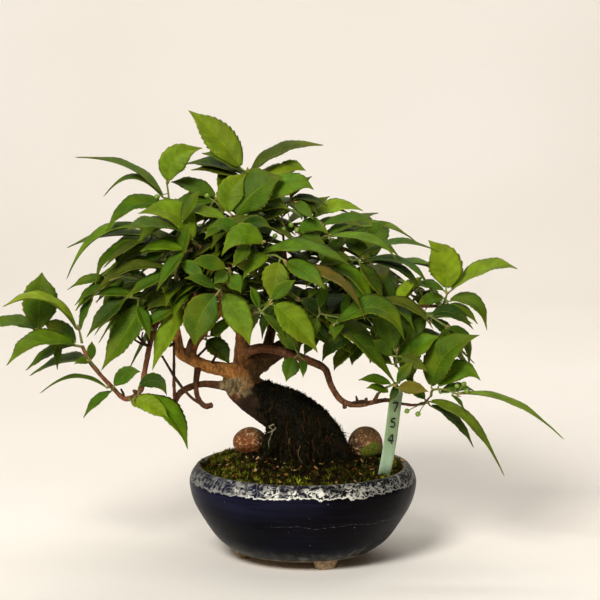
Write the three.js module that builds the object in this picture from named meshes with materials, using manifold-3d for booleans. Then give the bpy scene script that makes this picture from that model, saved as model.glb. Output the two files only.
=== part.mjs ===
// A beautyberry bonsai (Callicarpa) in a round, dark blue-glazed pot on three feet.
// Units are millimetres, +Z is up and -Y is the side that the tree is seen from.
// The pieces are the pot, its drain screen, the soil, the tree's wood, two pebbles, a label
// and the green shoots of the year, each a stem with its leaves and unripe berries.

import * as THREE from "three";
import { mergeVertices } from "three/addons/utils/BufferGeometryUtils.js";
import Module from "manifold-3d";

const wasm = await Module();
wasm.setup();

// Driving dimensions of the pot and what it holds. An outline lists radius and height.
const POT_OUTLINE = [[57, 7.8], [69, 16.5], [79.5, 31], [88, 46], [91.5, 60], [90, 68], [86.5, 73.5]];
const POT_WALL = 6.5;
const POT_SIDES = 24;
const FOOT_RING_RADIUS = 48;
const FOOT_TOP_WIDTH = 26;
const FOOT_BOTTOM_WIDTH = 15;
const FOOT_DEPTH = 11;
const FOOT_ANGLES = [-69, -174, 54];
const DRAIN_RADIUS = 9;
const SCREEN_SIZE = 34;
const SCREEN_HOLE = 8;
const SCREEN_HOLES = 2;
const SCREEN_THICKNESS = 1.2;
const SOIL_OUTLINE = [[80.2, 72.5], [73, 77.5], [52, 81.5], [26, 84], [0, 85]];
const STONE_LUMPS = 0.045;
const STONE_DETAIL = 1;
const GAP = 0.3;
const LABEL_WIDTH = 12;
const LABEL_THICKNESS = 1;
const LABEL_TURN = THREE.MathUtils.degToRad(32);

// Driving dimensions of the tree
const BLADE_THICKNESS = 1.5;
const BLADE_FOLD = 0.22;
const BLADE_RATIO = 0.42;
const PETIOLE_HALF_WIDTH = 0.9;
const LONG_PETIOLE = 6;
const STEM_RADIUS = 1.2;
const BERRY_RADIUS = 2.3;
const STALK_RADIUS = 0.7;
const WOOD_GAP = 0.35;

// The view that the tree's shape is read in. A point of it is a pixel of a 600 by 600 picture,
// at 0.8 mm to the pixel in the plane of the pot's axis, with its depth behind that plane in mm.
const MM_PER_PIXEL = 0.8;
const VIEW_DISTANCE = 1800;
const VIEW_PITCH = THREE.MathUtils.degToRad(7.4);
const VIEW_CENTRE = 300;
const POT_AXIS_PIXEL = 303;
const AIM_HEIGHT = 208.4;

const UP = new THREE.Vector3(0, 0, 1);
const FORWARD = new THREE.Vector3(0, Math.cos(VIEW_PITCH), -Math.sin(VIEW_PITCH));
const VIEW_UP = new THREE.Vector3(0, Math.sin(VIEW_PITCH), Math.cos(VIEW_PITCH));
const EYE = new THREE.Vector3((VIEW_CENTRE - POT_AXIS_PIXEL) * MM_PER_PIXEL, 0, AIM_HEIGHT)
  .addScaledVector(FORWARD, -VIEW_DISTANCE);

// The point of the tree seen at a pixel, at a depth behind the pot's axis
function seen([column, row, depth = 0]) {
  const scale = MM_PER_PIXEL / VIEW_DISTANCE;
  const ray = FORWARD.clone().addScaledVector(VIEW_UP, (VIEW_CENTRE - row) * scale);
  ray.x += (column - VIEW_CENTRE) * scale;
  return EYE.clone().addScaledVector(ray, (depth - EYE.y) / ray.y);
}

// Solids. A join or cut leaves no edge shorter than this.

const SHORTEST_EDGE = 0.02;

function solidOf(geometry) {
  const bare = geometry.index ? geometry.toNonIndexed() : geometry.clone();
  const positions = new THREE.BufferGeometry();
  positions.setAttribute("position", bare.getAttribute("position"));
  const merged = mergeVertices(positions, 1e-4);
  const corners = merged.attributes.position.array;
  const triVerts = new Uint32Array(merged.index.array);
  const [a, b, c] = [new THREE.Vector3(), new THREE.Vector3(), new THREE.Vector3()];
  let volume = 0;
  for (let i = 0; i < triVerts.length; i += 3) {
    a.fromArray(corners, 3 * triVerts[i]);
    b.fromArray(corners, 3 * triVerts[i + 1]);
    c.fromArray(corners, 3 * triVerts[i + 2]);
    volume += a.dot(b.cross(c));
  }
  if (volume < 0) triVerts.reverse();
  const mesh = { numProp: 3, vertProperties: corners, triVerts, tolerance: SHORTEST_EDGE };
  return new wasm.Manifold(new wasm.Mesh(mesh));
}

function union(solids) {
  return solids.reduce((whole, solid) => whole.add(solid));
}

function largestBody(solid) {
  return solid.decompose().reduce((best, body) => (body.volume() > best.volume() ? body : best));
}

function geometryOf(solid) {
  const mesh = solid.getMesh();
  const positions = new Float32Array(mesh.numVert * 3);
  for (let i = 0; i < mesh.numVert; i++) {
    const start = i * mesh.numProp;
    positions.set(mesh.vertProperties.subarray(start, start + 3), 3 * i);
  }
  const geometry = new THREE.BufferGeometry();
  geometry.setAttribute("position", new THREE.BufferAttribute(positions, 3));
  geometry.setIndex(new THREE.BufferAttribute(new Uint32Array(mesh.triVerts), 1));
  geometry.computeVertexNormals();
  return geometry;
}

// One closed body through a row of rings, each a list of points of one length, or a single end point
function loft(rings) {
  const index = [];
  let start = 0;
  for (let i = 0; i + 1 < rings.length; i++) {
    const [here, next] = [rings[i].length, rings[i + 1].length];
    const after = start + here;
    const count = Math.max(here, next);
    for (let k = 0; k < count; k++) {
      const k1 = (k + 1) % count;
      if (here === 1) index.push(start, after + k1, after + k);
      else if (next === 1) index.push(start + k, start + k1, after);
      else index.push(start + k, start + k1, after + k1, start + k, after + k1, after + k);
    }
    start = after;
  }
  for (let k = 1; k + 1 < rings[0].length; k++) index.push(0, k + 1, k);
  for (let k = 1; k + 1 < rings.at(-1).length; k++) index.push(start, start + k, start + k + 1);
  const positions = rings.flat().flatMap((point) => point.toArray());
  const geometry = new THREE.BufferGeometry();
  geometry.setAttribute("position", new THREE.Float32BufferAttribute(positions, 3));
  geometry.setIndex(index);
  return solidOf(geometry);
}

// A tapering limb through points [column, row, depth, radius], grown all over by some mm
function limb(points, { sides = 4, steps = points.length - 1, grown = 0, swell = () => 1 } = {}) {
  const curve = new THREE.CatmullRomCurve3(points.map(seen), false, "centripetal");
  const rings = [];
  let across = new THREE.Vector3(0.2, 1, 0.1);
  for (let i = 0; i <= steps; i++) {
    const share = i / steps;
    const along = curve.getTangent(share);
    const centre = curve.getPoint(share);
    across = across.clone().addScaledVector(along, -across.dot(along)).normalize();
    const third = along.clone().cross(across);
    const place = share * (points.length - 1);
    const before = Math.min(Math.floor(place), points.length - 2);
    const radius = THREE.MathUtils.lerp(points[before][3], points[before + 1][3], place - before);
    rings.push([...Array(sides).keys()].map((k) => {
      const angle = (2 * Math.PI * k) / sides;
      const reach = radius * swell(angle, share) + grown;
      return centre.clone()
        .addScaledVector(across, reach * Math.cos(angle))
        .addScaledVector(third, reach * Math.sin(angle));
    }));
  }
  return loft(rings);
}

// A repeatable draw between 0 and 1 for each pair of numbers
function draw(a, b) {
  const spread = Math.sin(a * 12.9898 + b * 78.233) * 43758.5453;
  return spread - Math.floor(spread);
}

// The pot and what it holds

// Turns an outline of [radius, height] about the vertical axis
function turned(outline) {
  const points = [...outline, outline[0]].map(([radius, height]) => new THREE.Vector2(radius, height));
  return solidOf(new THREE.LatheGeometry(points, POT_SIDES).rotateX(Math.PI / 2));
}

function box(width, depth, height, [x, y, z]) {
  return solidOf(new THREE.BoxGeometry(width, depth, height).translate(x, y, z));
}

const POT_FLOOR = POT_OUTLINE[0][1] + POT_WALL;
const RIM = POT_OUTLINE.at(-1);

// The pot's swelling side in even steps, drawn in by an inset
function potSide(inset, lowest, steps) {
  const points = POT_OUTLINE.map(([radius, height]) => new THREE.Vector2(radius, height));
  return new THREE.SplineCurve(points).getPoints(steps).map(({ x, y }) => [x - inset, Math.max(y, lowest)]);
}

function potFoot(angle) {
  const top = POT_OUTLINE[0][1] + 1;
  const profile = new THREE.Shape();
  profile.moveTo(-FOOT_TOP_WIDTH / 2, top);
  profile.quadraticCurveTo(-FOOT_BOTTOM_WIDTH / 2 - 1, 3, -FOOT_BOTTOM_WIDTH / 2, 0);
  profile.lineTo(FOOT_BOTTOM_WIDTH / 2, 0);
  profile.quadraticCurveTo(FOOT_BOTTOM_WIDTH / 2 + 1, 3, FOOT_TOP_WIDTH / 2, top);
  const settings = { depth: FOOT_DEPTH, bevelEnabled: false, curveSegments: 2 };
  const foot = new THREE.ExtrudeGeometry(profile, settings);
  foot.rotateX(Math.PI / 2).translate(0, -FOOT_RING_RADIUS + FOOT_DEPTH / 2, 0);
  return solidOf(foot.rotateZ(THREE.MathUtils.degToRad(angle + 90)));
}

function makePot() {
  const outer = potSide(0, 0, 7);
  const inner = potSide(POT_WALL, POT_FLOOR, 4).reverse();
  const lip = [[RIM[0] - 2, RIM[1] + 1.2], [RIM[0] - POT_WALL + 1.5, RIM[1] + 0.8]];
  const floor = [[DRAIN_RADIUS, POT_FLOOR], [DRAIN_RADIUS, outer[0][1]]];
  return union([turned([...outer, ...lip, ...inner, ...floor]), ...FOOT_ANGLES.map(potFoot)]);
}

function makeScreen() {
  const height = POT_FLOOR + GAP + SCREEN_THICKNESS / 2;
  let screen = box(SCREEN_SIZE, SCREEN_SIZE, SCREEN_THICKNESS, [0, 0, height]);
  const pitch = SCREEN_SIZE / (SCREEN_HOLES + 1);
  for (let i = 0; i < SCREEN_HOLES ** 2; i++) {
    const [across, along] = [i % SCREEN_HOLES, Math.floor(i / SCREEN_HOLES)];
    const middle = (SCREEN_HOLES - 1) / 2;
    const hole = [(across - middle) * pitch, (along - middle) * pitch, height];
    screen = screen.subtract(box(SCREEN_HOLE, SCREEN_HOLE, 2 * SCREEN_THICKNESS, hole));
  }
  return screen;
}

// The filled soil, with plain holes where the given solids stand in it
function makeSoil(standing) {
  const side = potSide(POT_WALL + GAP, POT_FLOOR + GAP, 4).slice(0, -1);
  const body = turned([[0, POT_FLOOR + GAP], ...side, ...SOIL_OUTLINE]);
  const overScreen = SCREEN_SIZE + 2 * GAP;
  const height = SCREEN_THICKNESS + 2 * GAP;
  const seat = box(overScreen, overScreen, height + 1, [0, 0, POT_FLOOR + GAP + height / 2]);
  return largestBody(standing.reduce((soil, solid) => soil.subtract(solid), body.subtract(seat)));
}

// A rounded, slightly lumpy pebble about a point [column, row, depth]
function makeStone(place, radii, seed, grown = 0) {
  const stone = new THREE.IcosahedronGeometry(1, STONE_DETAIL);
  const points = stone.attributes.position;
  const [centre, point] = [seen(place), new THREE.Vector3()];
  for (let i = 0; i < points.count; i++) {
    point.fromBufferAttribute(points, i);
    const swelling = Math.sin(2.3 * point.x + seed) * Math.cos(1.9 * point.y - seed);
    const reach = 1 + STONE_LUMPS * (swelling + Math.sin(3.1 * point.z + seed));
    const size = new THREE.Vector3(...radii).multiplyScalar(reach).addScalar(grown);
    point.multiply(size).add(centre);
    points.setXYZ(i, ...point.toArray());
  }
  return solidOf(stone);
}

// The stake label, a strip through points [column, row, depth], pointed at its foot
function makeLabel(grown = 0) {
  const spine = [
    [380, 494, -36], [383, 480, -41.5], [387, 460, -45], [391, 436, -45], [394, 412, -45],
    [397, 390, -45],
  ];
  const curve = new THREE.CatmullRomCurve3(spine.map(seen));
  const across = new THREE.Vector3(Math.cos(LABEL_TURN), Math.sin(LABEL_TURN), 0);
  const steps = 8;
  const rings = [];
  for (let i = 0; i <= steps; i++) {
    const share = i / steps;
    const [centre, along] = [curve.getPoint(share), curve.getTangent(share)];
    const side = across.clone().addScaledVector(along, -across.dot(along)).normalize();
    const face = along.clone().cross(side);
    const half = (LABEL_WIDTH / 2) * Math.min(1, 0.25 + 4 * share) + grown;
    const thick = LABEL_THICKNESS / 2 + grown;
    side.multiplyScalar(half);
    face.multiplyScalar(thick);
    const [left, right] = [centre.clone().sub(side), centre.clone().add(side)];
    rings.push([left.clone().sub(face), right.clone().sub(face), right.add(face), left.add(face)]);
  }
  return loft(rings);
}

// The wood. Each limb is a row of points [column, row, depth, radius].

const TRUNK = [
  [309, 484, 0, 40], [307, 462, 0, 35.5], [303, 438, 0, 29.3], [289, 417, 0, 20.5], [267, 404, 0, 16.4],
  [250, 393, 2, 14.5], [239, 380, 3, 13], [242, 366, 3, 10],
];
const ROOTS = [
  [[280, 424, -8, 9], [272, 446, -17, 7], [257, 470, -26, 3]],
  [[300, 424, -16, 10], [301, 450, -32, 7], [304, 474, -44, 3]],
  [[322, 424, -8, 9], [338, 448, -18, 7], [352, 470, -27, 3]],
  [[322, 425, 10, 9], [332, 442, 28, 6.5], [340, 460, 42, 3]],
  [[300, 425, 14, 10], [298, 442, 34, 6.5], [296, 458, 50, 3]],
  [[284, 425, 10, 9], [274, 442, 28, 6], [266, 458, 42, 3]],
];
const LIMBS = {
  right: [[243, 384, 2, 9], [249, 372, 3, 9.2], [258, 362, 5, 9.2], [270, 355, 9, 8.4],
    [284, 347, 14, 6.8],
    [302, 336, 18, 5.4], [320, 318, 22, 4.4], [336, 300, 24, 3.4], [352, 284, 22, 2.6]],
  upright: [[241, 380, 0, 8], [241, 352, -2, 5.6], [242, 330, -4, 5], [238, 304, -6, 4.4],
    [230, 282, -8, 3.8],
    [229, 256, -8, 3.2], [237, 228, -10, 2.5], [244, 204, -8, 1.9]],
  left: [[240, 377, -2, 9], [225, 370, -6, 6], [206, 366, -10, 5.2], [191, 359, -14, 5],
    [180, 352, -16, 4.8],
    [177, 338, -18, 4.2], [174, 322, -20, 3.2], [166, 309, -25, 2.4], [152, 300, -32, 1.8]],
  rising: [[190, 360, -13, 4.6], [193, 344, -12, 4.8], [203, 330, -11, 4.6], [213, 318, -10, 4.5],
    [222, 306, -10, 3.9],
    [222, 286, -16, 3], [207, 266, -24, 2.4], [193, 250, -30, 1.9]],
  low: [[234, 386, -5, 6], [218, 385, -11, 3.4], [202, 384, -16, 2.8], [188, 388, -20, 2.8],
    [179, 394, -22, 2.7],
    [175, 403, -24, 2.3], [176, 411, -26, 1.4]],
  lowTwig: [[175, 404, -24, 1.6], [174, 385, -27, 1.3], [174, 345, -27, 1]],
  knobby: [[198, 365, -12, 3], [196, 386, -22, 2.1], [198, 398, -26, 2], [205, 406, -28, 2.2],
    [212, 405, -30, 2.2]],
  crossing: [[206, 407, -28, 1.3], [192, 398, -31, 1.2], [178, 382, -33, 1.2], [162, 356, -36, 0.9]],
  forward: [[246, 352, -4, 4.6], [262, 348, -9, 3.9], [290, 354, -17, 3.6], [312, 362, -22, 3.4],
    [325, 369, -26, 3],
    [331, 385, -30, 2.6], [342, 401, -34, 2.6], [357, 405, -36, 2.4], [374, 402, -36, 2.1],
    [388, 400, -33, 1.9],
    [403, 404, -32, 1.5], [422, 404, -34, 1.3], [431, 396, -36, 1.1]],
  cascade: [[166, 308, -25, 2.3], [158, 320, -34, 2.2], [150, 345, -42, 2.1], [145, 370, -48, 2],
    [140, 391, -54, 2.1],
    [126, 399, -58, 2], [112, 387, -60, 1.8], [90, 362, -62, 1.6], [82, 346, -62, 1.4]],
  inner: [[222, 291, -12, 3], [206, 296, -20, 2.7], [190, 293, -30, 2.4], [180, 290, -36, 2.3],
    [168, 288, -42, 2.1]],
  farRight: [[318, 320, 22, 3.6], [345, 312, 14, 2.8], [372, 306, 4, 2.2], [392, 305, -8, 1.7],
    [420, 306, -14, 1.5],
    [440, 306, -16, 1.3]],
  rightLow: [[372, 306, 4, 2.2], [386, 330, -14, 1.8], [393, 350, -28, 1.5], [396, 366, -34, 1.2]],
  back: [[262, 368, 8, 6], [268, 345, 26, 4.6], [274, 318, 44, 3.6], [280, 292, 58, 2.8],
    [286, 266, 64, 2]],
  backLeft: [[240, 330, 0, 4], [222, 312, 22, 3.2], [204, 292, 42, 2.6], [188, 272, 58, 2]],
  backRight: [[300, 340, 20, 4], [322, 320, 44, 3.2], [344, 300, 60, 2.6], [362, 282, 70, 2]],
};
// Cut ends and short spurs
const STUBS = [
  [[186, 356, -16, 2.4], [189, 347, -24, 2], [190, 342, -28, 1.8]],
  [[344, 402, -34, 1.8], [345, 408, -37, 1.5]],
  [[366, 403, -37, 1.7], [366, 399, -42, 1.4]],
  [[300, 339, 16, 2.6], [305, 326, 6, 2]],
  [[139, 394, -54, 1.8], [134, 391, -59, 1.5]],
];

const THIN_LIMB = 4;

// How the trunk's section swells over its roots and winds further up
function rootFlare(angle, share) {
  return 1 + 0.1 * (1 - share) ** 2 * Math.cos(5 * angle + 0.6) + 0.04 * Math.sin(3 * angle + 9 * share);
}

function makeWood(grown) {
  const trunk = limb(TRUNK, { sides: 11, steps: 8, grown, swell: rootFlare });
  const roots = ROOTS.map((points) => limb(points, { grown }));
  const limbs = Object.values(LIMBS).map((points) => {
    const steps = Math.ceil(0.75 * (points.length - 1));
    return limb(points, { sides: points[0][3] > THIN_LIMB ? 6 : 4, steps, grown });
  });
  const stubs = STUBS.map((points) => limb(points, { grown, sides: 3 }));
  const twigs = SHOOTS.filter((shoot) => shoot.twig).map((shoot) => limb(shoot.twig, { grown, sides: 3 }));
  return union([trunk, ...roots, ...limbs, ...stubs, ...twigs]);
}

// The year's shoots on the near side. A twig is wood: points [column, row, depth, radius], the last where
// the green stem starts. A stem's points are [column, row, depth]. A leaf's blade runs from one pixel to
// another, perhaps via a third halfway, and looks so many pixels wide. Its tip lies nearer than its foot
// by so many mm, and its ratio is its width to its length.

const SHOOTS = [
  {
    name: "shoot_low_left_end",
    stem: [[84, 347, -62], [60, 342, -63], [38, 331, -64]],
    leaves: [
      { from: [38, 330], to: [42, 272], wide: 36, near: -4, ratio: 0.62 },
      { from: [37, 331], to: [-24, 335], wide: 12, via: [10, 322], near: 4 },
      { from: [76, 342], to: [42, 322], wide: 22, near: 0, ratio: 0.5 },
      { from: [75, 344], to: [6, 366], wide: 18, via: [40, 342], near: 18 },
      { from: [72, 345], to: [25, 371], wide: 9, near: -8 },
      { from: [60, 342], to: [57, 370], wide: 8, near: 6 },
    ],
  },
  {
    name: "shoot_low_left_upper",
    stem: [[82, 343, -63], [79, 329, -63]],
    leaves: [
      { from: [77, 329], to: [2, 307], wide: 8, via: [44, 300], near: -2 },
      { from: [80, 329], to: [96, 290], wide: 8, near: -8 },
    ],
  },
  {
    name: "shoot_low_left_middle",
    twig: [[100, 374, -61, 1.6], [94, 366, -64, 1.3]],
    stem: [[96, 368, -63], [90, 361, -67]],
    leaves: [
      { from: [91, 361], to: [74, 364], wide: 7, near: 8 },
      { from: [91, 360], to: [92, 341], wide: 9, near: 6 },
      { from: [88, 361], to: [29, 376], wide: 10, near: 8 },
    ],
  },
  {
    name: "shoot_low_left_spur",
    twig: [[116, 391, -60, 1.8], [113, 389, -64, 1.3]],
    stem: [[114, 389, -63], [109, 387, -68]],
    leaves: [
      { from: [107, 387], to: [39, 394], wide: 3, via: [73, 377], near: 6, ratio: 0.2 },
      { from: [111, 391], to: [83, 418], wide: 9, near: 12 },
      { from: [114, 386], to: [141, 372], wide: 15, via: [127, 374], near: 4, ratio: 0.5 },
    ],
  },
  {
    name: "shoot_low_left_front",
    twig: [[128, 398, -58, 1.9], [130, 399, -63, 1.3]],
    stem: [[129, 399, -62], [133, 401, -68], [138, 398, -72]],
    leaves: [
      { from: [131, 400], to: [170, 420], wide: 18, via: [150, 405], near: 26, ratio: 0.5 },
      { from: [136, 399], to: [188, 450], wide: 21, near: 0, via: [168, 413] },
      { from: [139, 386], to: [167, 396], wide: 15, via: [156, 381], near: 8, ratio: 0.5 },
    ],
  },
  {
    name: "shoot_crown_far_left",
    twig: [[196, 254, -28, 1.9], [184, 232, -34, 1.5]],
    stem: [[185, 234, -34], [172, 212, -40], [167, 184, -42]],
    berries: [[157, 197, -46], [160, 203, -38]],
    leaves: [
      { from: [164, 198], to: [74, 157], wide: 7, via: [128, 167], near: -6, ratio: 0.24 },
      { from: [163, 197], to: [103, 197], wide: 6, via: [132, 178], near: 12, ratio: 0.26 },
      { from: [169, 182], to: [203, 148], wide: 27, via: [176, 158], near: 0, ratio: 0.56 },
      { from: [166, 207], to: [105, 234], wide: 14, via: [132, 206], near: 4 },
      { from: [176, 217], to: [137, 243], wide: 14, near: 20 },
    ],
  },
  {
    name: "shoot_left_upper",
    twig: [[203, 262, -26, 1.9], [200, 246, -42, 1.4]],
    stem: [[200, 247, -41], [186, 233, -56], [180, 226, -60]],
    leaves: [
      { from: [193, 240], to: [137, 214], wide: 24, near: 16, via: [174, 214], ratio: 0.5 },
      { from: [183, 228], to: [138, 222], wide: 9, near: -8 },
      { from: [185, 232], to: [126, 230], wide: 12, near: 12, via: [155, 226] },
      { from: [182, 222], to: [200, 190], wide: 12, near: -10 },
    ],
  },
  {
    name: "shoot_left_long",
    twig: [[193, 252, -30, 1.9], [181, 248, -36, 1.4]],
    stem: [[183, 248, -36], [162, 240, -46], [148, 232, -52]],
    leaves: [
      { from: [148, 228], to: [66, 280], wide: 9, via: [98, 237], near: 4, ratio: 0.33 },
      { from: [178, 243], to: [95, 288], wide: 14, via: [118, 251], near: 14 },
      { from: [150, 240], to: [103, 268], wide: 10, near: 16 },
      { from: [146, 236], to: [66, 248], wide: 7, via: [104, 236], near: -10, ratio: 0.3 },
      { from: [165, 245], to: [140, 276], wide: 14, near: 14 },
    ],
  },
  {
    name: "shoot_left_edge",
    twig: [[166, 288, -42, 1.8], [150, 280, -48, 1.4]],
    stem: [[152, 281, -47], [126, 276, -54], [106, 282, -58]],
    leaves: [
      { from: [106, 279], to: [67, 290], wide: 9, via: [87, 280], near: 0, ratio: 0.3 },
      { from: [110, 280], to: [74, 306], wide: 10, near: 10 },
      { from: [104, 285], to: [75, 311], wide: 8, near: 2 },
      { from: [124, 280], to: [100, 318], wide: 14, near: 12 },
      { from: [136, 276], to: [112, 252], wide: 14, near: -8 },
    ],
  },
  {
    name: "shoot_left_low",
    twig: [[158, 303, -30, 1.8], [150, 303, -48, 1.4]],
    stem: [[151, 303, -46], [143, 299, -60], [128, 297, -68]],
    leaves: [
      { from: [143, 303], to: [101, 371], wide: 25, near: 10, via: [125, 334] },
      { from: [126, 298], to: [86, 338], wide: 18, near: 4 },
      { from: [132, 294], to: [92, 296], wide: 12, near: 8 },
      { from: [138, 306], to: [150, 340], wide: 12, near: 14 },
    ],
  },
  {
    name: "shoot_left_front",
    twig: [[180, 291, -36, 1.8], [176, 284, -58, 1.4]],
    stem: [[176, 285, -56], [176, 270, -72], [184, 252, -80]],
    leaves: [
      { from: [172, 273], to: [121, 302], wide: 15, near: 8 },
      { from: [184, 252], to: [156, 292], wide: 12, near: 10 },
      { from: [184, 250], to: [139, 252], wide: 12, near: 4, via: [160, 246] },
      { from: [181, 262], to: [206, 282], wide: 16, near: 8 },
      { from: [180, 258], to: [190, 222], wide: 12, near: -6 },
    ],
  },
  {
    name: "shoot_left_hanging",
    twig: [[192, 294, -29, 1.9], [189, 302, -46, 1.4]],
    stem: [[189, 301, -45], [184, 306, -58]],
    leaves: [
      { from: [183, 308], to: [152, 371], wide: 20, near: 12, via: [168, 333] },
      { from: [179, 306], to: [140, 332], wide: 14, near: 12 },
      { from: [182, 304], to: [146, 312], wide: 13, via: [162, 300], near: 4 },
    ],
  },
  {
    name: "shoot_apex",
    twig: [[244, 204, -8, 1.9], [247, 188, -10, 1.4]],
    stem: [[247, 190, -10], [247, 172, -14]],
    leaves: [
      { from: [241, 168], to: [188, 110], wide: 30, near: -4, via: [217, 137] },
      { from: [246, 175], to: [183, 164], wide: 11, near: -14 },
      { from: [244, 180], to: [190, 170], wide: 8, near: 14 },
      { from: [241, 173], to: [201, 153], wide: 7, near: 20 },
      { from: [250, 172], to: [324, 145], wide: 12, near: 4, via: [284, 151] },
      { from: [251, 184], to: [306, 170], wide: 11, near: 14, via: [276, 172] },
    ],
  },
  {
    name: "shoot_apex_left",
    twig: [[240, 216, -9, 1.9], [230, 206, -16, 1.4]],
    stem: [[231, 207, -16], [218, 198, -24]],
    leaves: [
      { from: [216, 197], to: [170, 182], wide: 16, near: 0 },
      { from: [217, 200], to: [165, 212], wide: 14, near: 10 },
      { from: [224, 201], to: [222, 168], wide: 14, near: -8 },
      { from: [216, 202], to: [190, 226], wide: 14, near: 12 },
    ],
  },
  {
    name: "shoot_front_upper",
    twig: [[235, 236, -10, 2], [235, 228, -34, 1.4]],
    stem: [[235, 229, -32], [233, 216, -50]],
    berries: [[246, 215, -54], [207, 196, -44]],
    leaves: [
      { from: [230, 213], to: [248, 173], wide: 31, near: -6, ratio: 0.62, via: [232, 190] },
      { from: [236, 215], to: [283, 177], wide: 38, near: 6, via: [257, 190], ratio: 0.8 },
      { from: [226, 219], to: [182, 212], wide: 10, near: 10 },
      { from: [227, 221], to: [204, 240], wide: 12, near: 14 },
      { from: [237, 220], to: [262, 236], wide: 12, near: 12 },
    ],
  },
  {
    name: "shoot_upper_right",
    twig: [[242, 212, -9, 1.9], [262, 208, -22, 1.6], [280, 205, -32, 1.3]],
    stem: [[278, 205, -31], [294, 201, -40]],
    leaves: [
      { from: [268, 203], to: [314, 189], wide: 18, near: 6, via: [290, 188] },
      { from: [295, 198], to: [328, 206], wide: 7, near: -6 },
      { from: [290, 199], to: [312, 176], wide: 8, near: -12 },
      { from: [294, 202], to: [314, 220], wide: 13, near: 8 },
      { from: [276, 210], to: [290, 228], wide: 10, near: 12 },
      { from: [288, 206], to: [262, 224], wide: 12, near: 16 },
    ],
  },
  {
    name: "shoot_right_shoulder",
    twig: [[240, 222, -9, 1.8], [272, 226, -6, 1.6], [298, 224, -10, 1.3]],
    stem: [[296, 224, -10], [314, 221, -16]],
    leaves: [
      { from: [312, 219], to: [364, 211], wide: 12, near: 2, via: [336, 207] },
      { from: [315, 224], to: [366, 228], wide: 8, near: -8 },
      { from: [314, 224], to: [304, 251], wide: 24, near: 14, ratio: 0.62 },
      { from: [304, 220], to: [330, 196], wide: 10, near: -14 },
      { from: [300, 228], to: [330, 244], wide: 14, near: 14 },
    ],
  },
  {
    name: "shoot_front_middle",
    twig: [[230, 258, -8, 2.2], [238, 250, -40, 1.7], [240, 244, -62, 1.3]],
    stem: [[240, 245, -60], [246, 238, -74], [262, 242, -82]],
    leaves: [
      { from: [240, 231], to: [272, 229], wide: 14, near: 4, via: [256, 222] },
      { from: [263, 244], to: [221, 257], wide: 21, near: 10, via: [241, 235], ratio: 0.5 },
      { from: [240, 236], to: [208, 229], wide: 13, near: 2, via: [226, 224] },
      { from: [250, 246], to: [232, 268], wide: 16, near: 14 },
    ],
  },
  {
    name: "shoot_front_right",
    twig: [[228, 262, -8, 2.2], [252, 262, -40, 1.7], [264, 258, -62, 1.3]],
    stem: [[262, 259, -60], [274, 255, -74], [284, 260, -80]],
    leaves: [
      { from: [270, 256], to: [243, 280], wide: 14, near: 10, via: [254, 263] },
      { from: [279, 262], to: [271, 303], wide: 34, near: 4, ratio: 0.66 },
      { from: [262, 253], to: [354, 268], wide: 12, near: -2, via: [310, 250] },
      { from: [286, 265], to: [366, 322], wide: 10, near: 6, via: [338, 282], ratio: 0.28 },
      { from: [286, 262], to: [326, 290], wide: 18, near: 14 },
    ],
  },
  {
    name: "shoot_front_low_left",
    twig: [[224, 296, -12, 2.6], [222, 290, -44, 1.8], [221, 290, -72, 1.4]],
    stem: [[221, 290, -70], [220, 290, -84]],
    leaves: [
      { from: [216, 295], to: [195, 347], wide: 38, near: 6, ratio: 0.62, via: [200, 318] },
      { from: [222, 295], to: [250, 346], wide: 30, near: 8, ratio: 0.5, via: [239, 316] },
      { from: [216, 288], to: [184, 278], wide: 10, near: 10 },
    ],
  },
  {
    name: "shoot_front_pair",
    twig: [[222, 286, -16, 2.4], [228, 278, -58, 1.6], [231, 273, -84, 1.3]],
    stem: [[231, 273, -82], [230, 270, -94]],
    leaves: [
      { from: [228, 272], to: [214, 284], wide: 14, near: 2, ratio: 0.8 },
      { from: [230, 275], to: [241, 293], wide: 17, near: 2, ratio: 0.8 },
      { from: [226, 268], to: [190, 262], wide: 14, near: 10 },
    ],
  },
  {
    name: "shoot_front_low",
    twig: [[240, 316, -5, 3], [250, 314, -44, 1.8], [256, 313, -68, 1.3]],
    stem: [[254, 313, -66], [262, 311, -80], [270, 304, -86]],
    leaves: [
      { from: [264, 314], to: [289, 349], wide: 9, near: 10 },
      { from: [274, 305], to: [318, 353], wide: 28, near: 6, ratio: 0.52 },
      { from: [264, 308], to: [290, 300], wide: 9, near: 8 },
      { from: [259, 308], to: [250, 286], wide: 9, near: 4 },
      { from: [272, 300], to: [296, 280], wide: 14, near: 4 },
    ],
  },
  {
    name: "shoot_right_long",
    twig: [[286, 266, 64, 2], [284, 252, 30, 1.8], [284, 244, -2, 1.4]],
    stem: [[284, 244, -1], [290, 240, -14], [318, 244, -26]],
    leaves: [
      { from: [319, 242], to: [374, 250], wide: 8, near: 6, via: [346, 232], ratio: 0.3 },
      { from: [320, 241], to: [354, 226], wide: 9, near: 18 },
      { from: [318, 248], to: [344, 282], wide: 18, near: 12 },
      { from: [296, 246], to: [300, 276], wide: 16, near: 12 },
    ],
  },
  {
    name: "shoot_right_upper",
    twig: [[352, 286, 22, 2], [346, 262, 12, 1.6], [338, 244, 6, 1.3]],
    stem: [[339, 245, 6], [341, 236, 0], [366, 238, -8]],
    leaves: [
      { from: [344, 233], to: [418, 243], wide: 7, near: -2, via: [382, 226], ratio: 0.26 },
      { from: [368, 241], to: [399, 256], wide: 8, near: 8 },
      { from: [367, 235], to: [390, 222], wide: 9, near: -10 },
      { from: [340, 240], to: [326, 262], wide: 16, near: 16 },
      { from: [345, 240], to: [372, 262], wide: 14, near: 16 },
    ],
  },
  {
    name: "shoot_right_middle",
    twig: [[350, 288, 20, 2], [352, 276, 0, 1.6], [352, 266, -18, 1.3]],
    stem: [[352, 267, -17], [353, 261, -30], [362, 258, -38]],
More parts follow.
